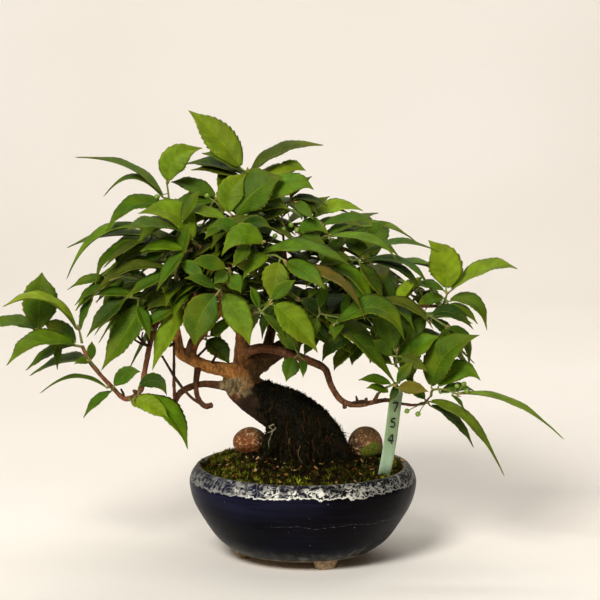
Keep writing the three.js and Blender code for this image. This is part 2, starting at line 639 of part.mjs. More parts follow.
    leaves: [
      { from: [348, 264], to: [378, 319], wide: 22, near: 12, via: [360, 288], ratio: 0.5 },
      { from: [357, 260], to: [440, 252], wide: 7, near: -2, via: [396, 243], ratio: 0.24 },
      { from: [360, 262], to: [434, 298], wide: 7, near: 8, via: [406, 264], ratio: 0.26 },
      { from: [360, 264], to: [384, 302], wide: 13, near: 14 },
      { from: [350, 258], to: [318, 266], wide: 14, near: 10 },
    ],
  },
  {
    name: "shoot_right_spur",
    twig: [[388, 305, -6, 1.7], [394, 308, -16, 1.3]],
    stem: [[393, 307, -15], [396, 302, -24]],
    leaves: [
      { from: [393, 300], to: [375, 273], wide: 23, near: -4, ratio: 0.62 },
      { from: [399, 304], to: [424, 276], wide: 11, near: 2 },
      { from: [394, 306], to: [362, 318], wide: 14, near: 10 },
      { from: [398, 307], to: [408, 338], wide: 16, near: 12 },
    ],
  },
  {
    name: "shoot_right_end",
    twig: [[438, 306, -16, 1.4], [445, 304, -20, 1.2]],
    stem: [[444, 304, -19], [447, 294, -26]],
    leaves: [
      { from: [446, 289], to: [428, 240], wide: 34, near: -2, ratio: 0.66, via: [444, 262] },
      { from: [450, 291], to: [518, 269], wide: 13, near: 4, via: [486, 268] },
      { from: [449, 301], to: [487, 331], wide: 13, near: 8, via: [474, 303] },
      { from: [449, 304], to: [478, 324], wide: 9, near: 16 },
      { from: [444, 290], to: [414, 286], wide: 8, near: 8 },
      { from: [444, 298], to: [416, 306], wide: 12, near: 12 },
    ],
  },
  {
    name: "shoot_right_low",
    twig: [[418, 306, -13, 1.6], [424, 312, -26, 1.3]],
    stem: [[423, 311, -25], [430, 316, -36], [446, 326, -42]],
    leaves: [
      { from: [432, 315], to: [474, 330], wide: 13, near: 0, via: [452, 313] },
      { from: [426, 318], to: [404, 346], wide: 16, near: 10 },
      { from: [448, 328], to: [469, 368], wide: 10, near: -4, via: [464, 340] },
      { from: [446, 328], to: [444, 354], wide: 14, near: -4 },
      { from: [428, 314], to: [404, 322], wide: 12, near: -4 },
    ],
  },
  {
    name: "shoot_right_front",
    stem: [[396, 366, -34], [396, 364, -44], [397, 352, -54]],
    leaves: [
      { from: [399, 362], to: [440, 336], wide: 22, near: 8, ratio: 0.56 },
      { from: [394, 350], to: [379, 302], wide: 28, near: 0, ratio: 0.56 },
      { from: [392, 364], to: [364, 352], wide: 10, near: 8 },
      { from: [398, 368], to: [415, 384], wide: 12, near: 10 },
      { from: [400, 356], to: [428, 372], wide: 16, near: 8 },
      { from: [392, 356], to: [372, 340], wide: 14, near: 12 },
    ],
  },
  {
    name: "shoot_low_right_end",
    stem: [[431, 396, -36], [433, 390, -44], [446, 390, -52], [457, 394, -56]],
    berries: [[457, 386, -58], [464, 384, -60], [467, 391, -57]],
    leaves: [
      { from: [431, 387], to: [480, 335], wide: 30, near: 16, via: [446, 354], ratio: 0.5 },
      { from: [438, 387], to: [481, 381], wide: 20, near: 4, ratio: 0.5, via: [460, 370] },
      { from: [440, 393], to: [475, 391], wide: 9, near: 10, via: [457, 388] },
      { from: [459, 393], to: [565, 440], wide: 8, near: 2, via: [514, 404], ratio: 0.26 },
      { from: [452, 395], to: [466, 412], wide: 4, near: 6, ratio: 0.3 },
    ],
  },
  {
    name: "shoot_low_right_front",
    twig: [[420, 404, -34, 1.4], [425, 403, -48, 1.1]],
    stem: [[425, 403, -46], [428, 402, -56]],
    berries: [[407, 411, -50], [418, 414, -54]],
    leaves: [
      { from: [429, 401], to: [505, 477], wide: 15, near: 10, via: [470, 424], ratio: 0.34 },
      { from: [430, 405], to: [474, 448], wide: 9, near: 0, via: [456, 423], ratio: 0.34 },
      { from: [425, 399], to: [404, 382], wide: 12, near: 8 },
    ],
  },
  {
    name: "shoot_label",
    twig: [[374, 402, -36, 1.8], [378, 394, -48, 1.3]],
    stem: [[377, 395, -46], [385, 388, -58], [393, 385, -60]],
    leaves: [
      { from: [391, 384], to: [358, 380], wide: 9, near: 4 },
      { from: [388, 392], to: [366, 388], wide: 8, near: 10 },
      { from: [398, 388], to: [429, 392], wide: 14, near: 8 },
      { from: [397, 383], to: [414, 362], wide: 14, near: -4 },
    ],
  },
  {
    name: "shoot_right_hanging",
    twig: [[322, 316, 22, 2], [320, 312, -14, 1.7], [320, 312, -42, 1.3]],
    stem: [[320, 312, -40], [322, 314, -56], [340, 318, -62]],
    leaves: [
      { from: [326, 317], to: [397, 386], wide: 20, near: 10, via: [358, 340] },
      { from: [342, 319], to: [398, 319], wide: 16, near: 4, via: [370, 312] },
      { from: [319, 308], to: [327, 282], wide: 12, near: -2 },
      { from: [342, 314], to: [352, 290], wide: 8, near: -2 },
      { from: [340, 322], to: [334, 340], wide: 13, near: 10 },
      { from: [317, 318], to: [312, 342], wide: 15, near: 12 },
    ],
  },
  {
    name: "shoot_under_middle",
    twig: [[298, 357, -18, 2.2], [298, 352, -30, 1.3]],
    stem: [[298, 353, -29], [300, 356, -42]],
    leaves: [
      { from: [294, 358], to: [286, 382], wide: 20, near: 8, ratio: 0.7 },
      { from: [304, 360], to: [303, 378], wide: 10, near: 6 },
      { from: [296, 350], to: [276, 334], wide: 14, near: -4 },
    ],
  },
  {
    name: "shoot_under_left",
    twig: [[205, 328, -11, 2.4], [206, 334, -2, 1.4]],
    stem: [[206, 333, -4], [206, 340, 6]],
    leaves: [
      { from: [207, 340], to: [230, 365], wide: 20, near: 14, ratio: 0.6 },
      { from: [203, 339], to: [186, 322], wide: 14, near: 8 },
      { from: [210, 336], to: [236, 322], wide: 12, near: 14 },
    ],
  },
];

// The far side's shoots: each rises from a limb and carries its leaves in crossed pairs
const FAR_SHOOTS = [
  { limb: "backLeft", at: [190, 266, 62] }, { limb: "backLeft", at: [158, 250, 46] },
  { limb: "backLeft", at: [146, 288, 50] }, { limb: "backLeft", at: [204, 232, 76] },
  { limb: "backLeft", at: [182, 306, 82] }, { limb: "back", at: [246, 246, 92] },
  { limb: "back", at: [282, 216, 60] }, { limb: "back", at: [232, 206, 42] },
  { limb: "back", at: [290, 282, 104] }, { limb: "back", at: [244, 300, 98] },
  { limb: "backRight", at: [330, 248, 80] }, { limb: "backRight", at: [372, 264, 50] },
  { limb: "backRight", at: [352, 308, 86] }, { limb: "farRight", at: [412, 330, 28] },
];
const FAR_PAIRS = 3;
const FAR_LEAF = 62;

// Leaves

// How far, in mm, a blade's tip may be bent aside to pass clear of its neighbours, nearest first
const BENDS = [0, 7, -7, 14, -14, 22, -22, 31, -31, 42, -42, 54];
const CROSSING_ALLOWED = 3;
const WOOD_TOUCH_ALLOWED = 2;
const PLAIN_STATIONS = [0.16, 0.46, 0.8];
const LARGE_STATIONS = [0.12, 0.36, 0.62, 0.86];
const LARGE_BLADE = 16;
const STEM_POINTS = 12;
const BARE_STEM_POINTS = 4;

// Half width of a blade along its rib, from 0 at its foot to 0 at its drip tip, 1 at its widest
function outline(share) {
  return (share ** 0.75 * (1 - share) ** 1.05) / 0.2945;
}

// The point [column, row, depth] of a stem, clear of its bare start, that a leaf's foot lies nearest to
function stemPointBy(stem, [column, row]) {
  const points = stem.map((point) => new THREE.Vector3(...point));
  const curve = new THREE.CatmullRomCurve3(points, false, "centripetal");
  const distance = (point) => Math.hypot(point.x - column, point.y - row);
  return curve.getPoints(STEM_POINTS).slice(BARE_STEM_POINTS)
    .reduce((best, point) => (distance(point) < distance(best) ? point : best));
}

// A leaf of the near side in space, its tip moved in depth by a bend
function leafInView(stem, leaf, bend) {
  const foot = stemPointBy(stem, leaf.from);
  const depths = [foot.z, foot.z - leaf.near + bend];
  const [start, end] = [seen([...leaf.from, depths[0]]), seen([...leaf.to, depths[1]])];
  const length = start.distanceTo(end);
  const middle = leaf.via
    ? seen([...leaf.via, (depths[0] + depths[1]) / 2])
    : start.clone().lerp(end, 0.5).addScaledVector(VIEW_UP, 0.07 * length);
  const half = (length * (leaf.ratio ?? BLADE_RATIO)) / 2;
  const roll = Math.acos(Math.min(1, (leaf.wide * MM_PER_PIXEL) / (2 * half)));
  const facing = (point, along) => {
    const toEye = EYE.clone().sub(point).normalize();
    toEye.addScaledVector(along, -toEye.dot(along)).normalize();
    const rising = toEye.clone().cross(along);
    if (rising.z < 0) rising.negate();
    return toEye.multiplyScalar(Math.cos(roll)).addScaledVector(rising, Math.sin(roll)).normalize();
  };
  return { root: seen(foot.toArray()), start, middle, end, half, facing, seed: leaf.from[0] + leaf.to[1] };
}

// One closed blade with its petiole: a folded, gently waved strip, thickest along its rib
function blade({ root, start, middle, end, half, facing, seed }, grown = 0) {
  const control = middle.clone().multiplyScalar(2).addScaledVector(start, -0.5).addScaledVector(end, -0.5);
  const rib = new THREE.QuadraticBezierCurve3(start, control, end);
  const stations = half > LARGE_BLADE ? LARGE_STATIONS : PLAIN_STATIONS;
  const ring = (share, width, index) => {
    const [centre, along] = [rib.getPoint(share), rib.getTangent(share)];
    const normal = facing(centre, along);
    const side = along.clone().cross(normal);
    const thick = (BLADE_THICKNESS / 2) * (1 - 0.4 * share) + grown;
    const edge = (sign) => {
      const wave = 0.16 * (draw(seed, index * sign) - 0.5);
      const reach = width * (1 + 0.1 * (draw(seed + 7, index * sign) - 0.5)) + grown;
      const lift = (BLADE_FOLD + wave) * width;
      return centre.clone().addScaledVector(side, sign * reach).addScaledVector(normal, lift);
    };
    const onRib = (sign) => centre.clone().addScaledVector(normal, sign * thick);
    return [edge(-1), onRib(-1), edge(1), onRib(1)];
  };
  const inStem = root.clone().addScaledVector(rib.getPoint(0.1).sub(root).normalize(), -0.4);
  const rings = stations.map((share, index) => ring(share, half * outline(share), index + 1));
  const tip = end.clone().addScaledVector(rib.getTangent(1), grown);
  if (start.distanceTo(root) > LONG_PETIOLE) rings.unshift(ring(0, PETIOLE_HALF_WIDTH, 0));
  return loft([[inStem], ...rings, [tip]]);
}

// The far side's shoots, built by rule

function nearestOnLimb(points, place) {
  const curve = new THREE.CatmullRomCurve3(points.map(seen), false, "centripetal");
  return curve.getPoints(20).slice(6)
    .reduce((best, point) => (point.distanceTo(place) < best.distanceTo(place) ? point : best));
}

// A far shoot's woody twig runs from its origin on a limb to its seat, and its green stem on to its end
function farShoot({ limb: limbName, at }, index) {
  const end = seen(at);
  const origin = nearestOnLimb(LIMBS[limbName], end);
  const seat = origin.clone().lerp(end, 0.55).add(new THREE.Vector3(0, 0, -4));
  return { name: `shoot_far_${index + 1}`, origin, seat, end, index };
}

function farLeaves({ seat, end, index }, bend) {
  const along = end.clone().sub(seat).normalize();
  const level = along.clone().cross(UP).normalize();
  const leaves = [];
  for (let pair = 0; pair < FAR_PAIRS; pair++) {
    const place = seat.clone().lerp(end, 0.3 + (0.7 * pair) / (FAR_PAIRS - 1));
    const turn = index + pair * 1.45;
    for (const sign of [-1, 1]) {
      const seed = 31 * index + 5 * pair + sign;
      const out = level.clone().applyAxisAngle(along, turn).multiplyScalar(sign);
      out.addScaledVector(along, 0.75);
      out.z = out.z * 0.5 - 0.1;
      out.normalize();
      const length = FAR_LEAF * (0.75 + 0.4 * draw(seed, 3)) * (1 - 0.12 * pair);
      const aside = out.clone().cross(UP).normalize();
      const start = place.clone().addScaledVector(out, 5);
      const tip = start.clone().addScaledVector(out, length).addScaledVector(UP, -0.22 * length);
      tip.addScaledVector(aside, bend).addScaledVector(UP, -0.3 * Math.abs(bend));
      const middle = start.clone().lerp(tip, 0.5).addScaledVector(UP, 0.12 * length);
      const facing = (point, line) => UP.clone().addScaledVector(line, -line.z).normalize();
      const half = (length * BLADE_RATIO) / 2;
      leaves.push({ root: place, start, middle, end: tip, half, facing, seed: Math.abs(seed) });
    }
  }
  return leaves;
}

// Assembly

function straightLimb(from, to, [thick, thin], grown, sides) {
  const along = to.clone().sub(from).normalize();
  const across = new THREE.Vector3(0, 0, 1).cross(along).normalize();
  const third = along.clone().cross(across);
  const ring = (centre, radius) => [...Array(sides).keys()].map((k) => {
    const angle = (2 * Math.PI * k) / sides;
    return centre.clone()
      .addScaledVector(across, (radius + grown) * Math.cos(angle))
      .addScaledVector(third, (radius + grown) * Math.sin(angle));
  });
  return loft([ring(from, thick), ring(to, thin)]);
}

function stemOf(shoot, grown = 0) {
  const radii = [STEM_RADIUS, STEM_RADIUS * 0.7];
  if (shoot.seat) return straightLimb(shoot.seat, shoot.end, radii, grown, 3);
  const last = shoot.stem.length - 1;
  const points = shoot.stem.map((point, i) => [...point, STEM_RADIUS * (1 - (0.35 * i) / last)]);
  return limb(points, { sides: 3, grown });
}

function berriesOf(shoot) {
  return (shoot.berries ?? []).flatMap((place) => {
    const centre = seen(place);
    const berry = solidOf(new THREE.OctahedronGeometry(BERRY_RADIUS).translate(...centre.toArray()));
    const root = seen(stemPointBy(shoot.stem, place).toArray());
    return [berry, straightLimb(root, centre, [STALK_RADIUS, STALK_RADIUS], 0, 3)];
  });
}

function meets(first, second) {
  const [a, b] = [first.boundingBox(), second.boundingBox()];
  return [0, 1, 2].every((k) => a.min[k] < b.max[k] && b.min[k] < a.max[k]);
}

function sharedVolume(first, second) {
  return meets(first, second) ? first.intersect(second).volume() : 0;
}

// The forms that a leaf could take, one for each bend
function leafChoices(shoot) {
  if (shoot.seat) {
    const byBend = BENDS.map((bend) => farLeaves(shoot, bend));
    return byBend[0].map((_, leaf) => byBend.map((leaves) => leaves[leaf]));
  }
  return shoot.leaves.map((leaf) => BENDS.map((bend) => leafInView(shoot.stem, leaf, bend)));
}

// Adds a shoot's leaves in turn, each bent clear of the other pieces, or left off where it can't be
function makeShoot(shoot, wood, others) {
  let whole = union([stemOf(shoot), ...berriesOf(shoot)]);
  const isClear = ({ guard }) =>
    sharedVolume(guard, wood) < WOOD_TOUCH_ALLOWED && others.every((other) => !sharedVolume(guard, other));
  for (const choices of leafChoices(shoot)) {
    const clear = choices.map((form) => ({ form, guard: blade(form, WOOD_GAP) })).filter(isClear);
    let best = null;
    for (const choice of clear) {
      choice.crossing = Math.max(sharedVolume(choice.guard, whole), CROSSING_ALLOWED);
      if (!best || choice.crossing < best.crossing) best = choice;
    }
    if (best) whole = whole.add(blade(best.form));
  }
  return largestBody(whole.subtract(wood));
}

const SHOOT_LIST = [...SHOOTS, ...FAR_SHOOTS.map(farShoot)];
const farTwigs = (grown) => SHOOT_LIST.filter(({ seat }) => seat)
  .map(({ origin, seat }) => straightLimb(origin, seat, [1.9, 1.4], grown, 3));
const wood = largestBody(union([makeWood(0), ...farTwigs(0)]));
const grownWood = union([makeWood(WOOD_GAP), ...farTwigs(WOOD_GAP)]);

const STONES = {
  stone_left: { place: [250, 442, 15], radii: [13.5, 12, 12.5], seed: 1.3, color: 0x8a5636 },
  stone_right: { place: [365, 444, 8], radii: [15, 13.5, 13.5], seed: 4.1, color: 0x7d5b46 },
};
const stones = Object.entries(STONES).map(([name, { place, radii, seed, color }]) => ({
  name,
  color,
  solid: makeStone(place, radii, seed),
  guard: makeStone(place, radii, seed, GAP),
}));
const labelGuard = makeLabel(GAP);
const soil = makeSoil([makeWood(GAP), ...stones.map(({ guard }) => guard), labelGuard]);

const group = new THREE.Group();

function addPiece(name, solid, color, roughness = 0.8) {
  const material = new THREE.MeshStandardMaterial({ color, roughness, metalness: 0 });
  const mesh = new THREE.Mesh(geometryOf(solid), material);
  mesh.name = name;
  group.add(mesh);
}

addPiece("pot", makePot(), 0x141824, 0.25);
addPiece("drain_screen", makeScreen(), 0x20201f);
addPiece("soil", soil, 0x2c2413, 1);
addPiece("trunk", wood, 0x5f4430, 0.9);
for (const { name, solid, color } of stones) addPiece(name, solid, color);
addPiece("plant_label", makeLabel(), 0x8fc3a0, 0.4);

const stems = SHOOT_LIST.map((shoot) => union([stemOf(shoot, WOOD_GAP), ...berriesOf(shoot)]));
const shoots = [];
SHOOT_LIST.forEach((shoot, index) => {
  const others = [...shoots, ...stems.slice(index + 1), labelGuard];
  shoots.push(makeShoot(shoot, grownWood, others));
  addPiece(shoot.name, shoots[index], 0x4c8a1f, 0.5);
});

// The object stands on the ground, with the middle of its width and depth at the origin
const extent = new THREE.Box3().setFromObject(group);
const middle = extent.getCenter(new THREE.Vector3());
group.position.set(-middle.x, -middle.y, 0);

export default group;
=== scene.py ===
import math
from functools import cache
from itertools import product

import bmesh
import bpy
import numpy as np
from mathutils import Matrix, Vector, noise
from mathutils.bvhtree import BVHTree
from mathutils.kdtree import KDTree


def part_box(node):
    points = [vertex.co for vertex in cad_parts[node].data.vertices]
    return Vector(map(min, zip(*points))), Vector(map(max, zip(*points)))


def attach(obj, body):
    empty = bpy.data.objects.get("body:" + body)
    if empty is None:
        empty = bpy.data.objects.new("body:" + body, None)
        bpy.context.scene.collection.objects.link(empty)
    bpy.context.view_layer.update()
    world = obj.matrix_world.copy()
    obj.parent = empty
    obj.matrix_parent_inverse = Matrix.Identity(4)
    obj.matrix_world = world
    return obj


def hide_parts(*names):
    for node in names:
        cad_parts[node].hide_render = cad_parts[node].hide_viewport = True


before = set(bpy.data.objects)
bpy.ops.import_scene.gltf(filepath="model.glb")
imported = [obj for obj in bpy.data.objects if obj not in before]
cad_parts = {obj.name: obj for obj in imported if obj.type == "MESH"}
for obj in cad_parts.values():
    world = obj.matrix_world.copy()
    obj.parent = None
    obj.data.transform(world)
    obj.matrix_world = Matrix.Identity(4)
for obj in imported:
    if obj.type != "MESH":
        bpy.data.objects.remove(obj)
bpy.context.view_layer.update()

MM = 0.001
NEAR_ZERO = 1e-4

# Lengths below are in millimetres about the pot's axis, as in the solids, until a mesh is made.

POT_LOW, POT_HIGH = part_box("pot")
AXIS = np.array([(POT_LOW[0] + POT_HIGH[0]) / 2, (POT_LOW[1] + POT_HIGH[1]) / 2, 0.0])

MM_PER_PIXEL = 0.8
VIEW_DISTANCE = 1800.0
VIEW_PITCH = math.radians(7.4)
VIEW_CENTRE = 300
POT_AXIS_PIXEL = 303
AIM_HEIGHT = 208.4
UP = np.array([0.0, 0.0, 1.0])
FORWARD = np.array([0.0, math.cos(VIEW_PITCH), -math.sin(VIEW_PITCH)])
VIEW_UP = np.array([0.0, math.sin(VIEW_PITCH), math.cos(VIEW_PITCH)])
EYE = np.array([(VIEW_CENTRE - POT_AXIS_PIXEL) * MM_PER_PIXEL, 0, AIM_HEIGHT]) - FORWARD * VIEW_DISTANCE


def seen(column, row, depth=0.0):
    """The point seen at a pixel of the 600 by 600 picture, at a depth behind the pot's axis."""
    scale = MM_PER_PIXEL / VIEW_DISTANCE
    ray = FORWARD + VIEW_UP * ((VIEW_CENTRE - row) * scale)
    ray[0] += (column - VIEW_CENTRE) * scale
    return EYE + ray * ((depth - EYE[1]) / ray[1])


def pixel_of(point):
    """The pixel column and row that a point is seen at."""
    ray = (point - EYE) / ((point - EYE) @ FORWARD)
    scale = VIEW_DISTANCE / MM_PER_PIXEL
    return VIEW_CENTRE + ray[0] * scale, VIEW_CENTRE - (ray @ VIEW_UP) * scale


def unit(rows):
    rows = np.asarray(rows, float)
    return rows / np.maximum(np.linalg.norm(rows, axis=-1, keepdims=True), 1e-12)


def draw(a, b):
    """A repeatable draw between 0 and 1 for each pair of numbers."""
    spread = math.sin(a * 12.9898 + b * 78.233) * 43758.5453
    return spread - math.floor(spread)


def smooth(low, high, x):
    t = np.clip((np.asarray(x, float) - low) / (high - low), 0, 1)
    return t * t * (3 - 2 * t)


def fbm(point, scale, octaves=3):
    return noise.fractal(Vector(point) / scale, 0.9, 2.0, octaves)


def fbm_rows(rows, scale, octaves=3):
    return np.array([fbm(p, scale, octaves) for p in rows])


def linear(*srgb):
    """A display colour from 0 to 255 as a linear one."""
    c = np.array(srgb, float) / 255
    return np.where(c <= 0.04045, c / 12.92, ((c + 0.055) / 1.055) ** 2.4)


def kd_tree(rows):
    tree = KDTree(len(rows))
    for i, row in enumerate(rows):
        tree.insert(row, i)
    tree.balance()
    return tree


def bent(p1, p2, m1, m2, w):
    """The point at a share w of the way from p1 to p2, leaving them along m1 and m2."""
    return p1 + m1 * w + (-3 * p1 + 3 * p2 - 2 * m1 - m2) * (w * w) + (2 * p1 - 2 * p2 + m1 + m2) * w ** 3


# Curves: the centripetal Catmull-Rom that the solids are swept on

def curve_point(points, share):
    last = len(points) - 1
    place = last * share
    i = min(int(place), last - 1)
    p1, p2 = points[i], points[i + 1]
    p0 = points[i - 1] if i > 0 else 2 * points[0] - points[1]
    p3 = points[i + 2] if i + 2 <= last else 2 * points[last] - points[last - 1]
    t0, t1, t2 = (math.sqrt(np.linalg.norm(b - a)) for a, b in ((p0, p1), (p1, p2), (p2, p3)))
    t1 = t1 if t1 >= NEAR_ZERO else 1.0
    t0 = t0 if t0 >= NEAR_ZERO else t1
    t2 = t2 if t2 >= NEAR_ZERO else t1
    m1 = ((p1 - p0) / t0 - (p2 - p0) / (t0 + t1) + (p2 - p1) / t1) * t1
    m2 = ((p2 - p1) / t1 - (p3 - p1) / (t1 + t2) + (p3 - p2) / t2) * t1
    return bent(p1, p2, m1, m2, place - i)


def curve_rows(points, count):
    points = [np.array(p, float) for p in points]
    return np.array([curve_point(points, i / (count - 1)) for i in range(count)])


def directions(rows):
    return unit(np.gradient(rows, axis=0))


def seen_rows(points):
    return [seen(*p[:3]) for p in points]


# Meshes, gathered as points, faces and a few values at each point

class Soup:
    def __init__(self):
        self.points, self.faces, self.tones, self.marks, self.uvs = [], [], [], [], []
        self.slots, self.count = [], 0

    def add(self, points, faces, tone=(0.5, 0.5, 0.5), mark=0.0, uv=None, slot=0):
        """Adds a closed body. Faces are rows of point numbers; tone and mark are one value or one a point."""
        points = np.asarray(points, float)
        n = len(points)
        self.points.append(points)
        self.faces.extend([tuple(int(k) + self.count for k in face) for face in faces])
        self.tones.append(np.broadcast_to(np.asarray(tone, float), (n, 3)))
        self.marks.append(np.broadcast_to(np.asarray(mark, float), (n,)))
        self.uvs.append(np.zeros((n, 2)) if uv is None else np.asarray(uv, float))
        self.slots.extend([slot] * len(faces))
        self.count += n

    def object(self, name, materials, shade_smooth=True):
        mesh = bpy.data.meshes.new(name)
        points = np.vstack(self.points) * MM + AXIS
        mesh.from_pydata(points.tolist(), [], self.faces)
        mesh.update()
        tone = mesh.attributes.new("tone", "FLOAT_COLOR", "POINT")
        tone.data.foreach_set("color", np.hstack([np.vstack(self.tones), np.ones((self.count, 1))]).ravel())
        mark = mesh.attributes.new("mark", "FLOAT", "POINT")
        mark.data.foreach_set("value", np.concatenate(self.marks))
        corner = np.zeros(len(mesh.loops), np.int32)
        mesh.loops.foreach_get("vertex_index", corner)
        layer = mesh.uv_layers.new(name="leaf")
        layer.data.foreach_set("uv", np.vstack(self.uvs)[corner].ravel())
        mesh.polygons.foreach_set("material_index", np.array(self.slots, np.int32))
        mesh.polygons.foreach_set("use_smooth", np.full(len(mesh.polygons), shade_smooth))
        for material in materials:
            mesh.materials.append(material)
        piece = bpy.data.objects.new(name, mesh)
        bpy.context.scene.collection.objects.link(piece)
        return piece


def ring_faces(rings, sides):
    """Faces of a tube of rings, closed by a fan at each end about its two last points."""
    foot, tip, last = rings * sides, rings * sides + 1, (rings - 1) * sides
    around = [(k, (k + 1) % sides) for k in range(sides)]
    faces = [(a + k, a + k1, a + sides + k1, a + sides + k)
             for a in range(0, last, sides) for k, k1 in around]
    for k, k1 in around:
        faces += [(k1, k, foot), (last + k, last + k1, tip)]
    return faces


def tube(rows, radii, sides=8, swell=None, dome=0.5):
    """Points and faces of a closed tube about a row of centres, with rounded ends."""
    rows = np.asarray(rows, float)
    along = directions(rows)
    radii = np.broadcast_to(np.asarray(radii, float), (len(rows),))
    across = np.array([0.2, 1.0, 0.1])
    points = []
    for i, centre in enumerate(rows):
        across = unit(across - along[i] * (across @ along[i]))
        third = np.cross(along[i], across)
        for k in range(sides):
            angle = 2 * math.pi * k / sides
            reach = radii[i] * (1 if swell is None else swell(angle, i / (len(rows) - 1)))
            points.append(centre + reach * (math.cos(angle) * across + math.sin(angle) * third))
    points.append(rows[0] - along[0] * radii[0] * dome)
    points.append(rows[-1] + along[-1] * radii[-1] * dome)
    return np.array(points), ring_faces(len(rows), sides)


def ball(centre, radius, rings, sides, stretch=(1, 1, 1)):
    points = []
    for i in range(1, rings):
        angle = math.pi * i / rings
        wide, height = math.sin(angle), -math.cos(angle)
        for k in range(sides):
            turn = 2 * math.pi * k / sides
            points.append((wide * math.cos(turn), wide * math.sin(turn), height))
    points += [(0, 0, -1), (0, 0, 1)]
    return np.array(points) * radius * np.array(stretch) + centre, ring_faces(rings - 1, sides)


def put(piece, node=None):
    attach(piece, "root")
    if node:
        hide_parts(node)


# Materials

class Value:
    """What a socket gives. Python's arithmetic on it adds math nodes."""

    def __init__(self, nodes, socket):
        self.nodes, self.socket = nodes, socket

    def __add__(self, other):
        return self.nodes.math("ADD", self, other)

    def __sub__(self, other):
        return self.nodes.math("SUBTRACT", self, other)

    def __mul__(self, other):
        return self.nodes.math("MULTIPLY", self, other)

    def __truediv__(self, other):
        return self.nodes.math("DIVIDE", self, other)

    def __abs__(self):
        return self.nodes.math("ABSOLUTE", self)


class Nodes:
    """A short way to write a node material. Its patterns lie in the object's own metres."""

    def __init__(self, name, specular, roughness=0.9):
        self.material = bpy.data.materials.new(name)
        self.material.use_nodes = True
        self.tree = self.material.node_tree
        self.shader = self.tree.nodes["Principled BSDF"]
        self.shader.inputs["Roughness"].default_value = roughness
        self.shader.inputs["Specular IOR Level"].default_value = specular
        self.place = self.node("ShaderNodeTexCoord", "Object")

    def feed(self, socket, value):
        if isinstance(value, Value):
            self.tree.links.new(value.socket, socket)
        elif hasattr(value, "__len__") and len(value) == 3 and socket.type == "RGBA":
            socket.default_value = (*value, 1)
        else:
            socket.default_value = value

    def node(self, kind, output=0, settings=None, **inputs):
        made = self.tree.nodes.new(kind)
        for key, value in (settings or {}).items():
            setattr(made, key, value)
        for key, value in inputs.items():
            self.feed(made.inputs[key], value)
        return Value(self, made.outputs[output])

    def attribute(self, name, output="Color"):
        return self.node("ShaderNodeAttribute", output, {"attribute_name": name})

    def stretched(self, stretch):
        return self.scaled(self.place, stretch) if stretch else self.place

    def noise(self, scale, detail=3, roughness=0.55, distortion=0.0, stretch=None):
        return self.node("ShaderNodeTexNoise", "Fac", Vector=self.stretched(stretch), Scale=scale,
                         Detail=detail, Roughness=roughness, Distortion=distortion)

    def cells(self, scale, feature="DISTANCE_TO_EDGE", stretch=None):
        return self.node("ShaderNodeTexVoronoi", "Distance", {"feature": feature},
                         Vector=self.stretched(stretch), Scale=scale)

    def math(self, operation, a, b=0.0, clamp=False):
        made = self.tree.nodes.new("ShaderNodeMath")
        made.operation, made.use_clamp = operation, clamp
        for socket, value in zip(made.inputs, (a, b)):
            self.feed(socket, value)
        return Value(self, made.outputs[0])

    def most(self, first, *others):
        for other in others:
            first = self.math("MAXIMUM", first, other)
        return first

    def ramp(self, value, low, high, out_low=0.0, out_high=1.0):
        """value between low and high, smoothly to between out_low and out_high"""
        made = self.tree.nodes.new("ShaderNodeMapRange")
        made.interpolation_type = "SMOOTHSTEP"
        for socket, number in zip(made.inputs, (value, low, high, out_low, out_high)):
            self.feed(socket, number)
        return Value(self, made.outputs[0])

    def mix(self, share, a, b, blend="MIX"):
        made = self.tree.nodes.new("ShaderNodeMix")
        made.data_type, made.blend_type = "RGBA", blend
        for index, value in ((0, share), (6, a), (7, b)):
            self.feed(made.inputs[index], value)
        return Value(self, made.outputs[2])

    def scaled(self, vector, scale):
        return self.node("ShaderNodeMapping", Vector=vector, Scale=scale)

    def split(self, vector):
        made = self.node("ShaderNodeSeparateXYZ", Vector=vector)
        return [Value(self, output) for output in made.socket.node.outputs]

    def finish(self, colour, height, distance, strength, roughness=None):
        self.feed(self.shader.inputs["Base Color"], colour)
        if roughness is not None:
            self.feed(self.shader.inputs["Roughness"], roughness)
        bump = self.node("ShaderNodeBump", Height=height, Strength=strength, Distance=distance)
        self.feed(self.shader.inputs["Normal"], bump)
        return self.material


# The year's shoots. Pixels are of the 600 by 600 picture; a third number is a depth in mm, and a fourth
# a radius. Each shoot has its stem, then its leaves, then the twig that carries it and its berries.

BLADE_RATIO = 0.42


def leaf(column, row, tip_column, tip_row, wide, near=0, ratio=BLADE_RATIO, *via):
    """A blade from one pixel to another, perhaps via a third, that looks so many pixels wide. Its tip is
    nearer by so many mm, and ratio is its width by its length."""
    return {"from": (column, row), "to": (tip_column, tip_row), "wide": wide, "near": near, "via": via,
            "ratio": ratio}


def shoot(stem, *leaves, twig=(), berries=()):
    return {"stem": stem, "leaves": [leaf(*row) for row in leaves], "twig": twig, "berries": berries}


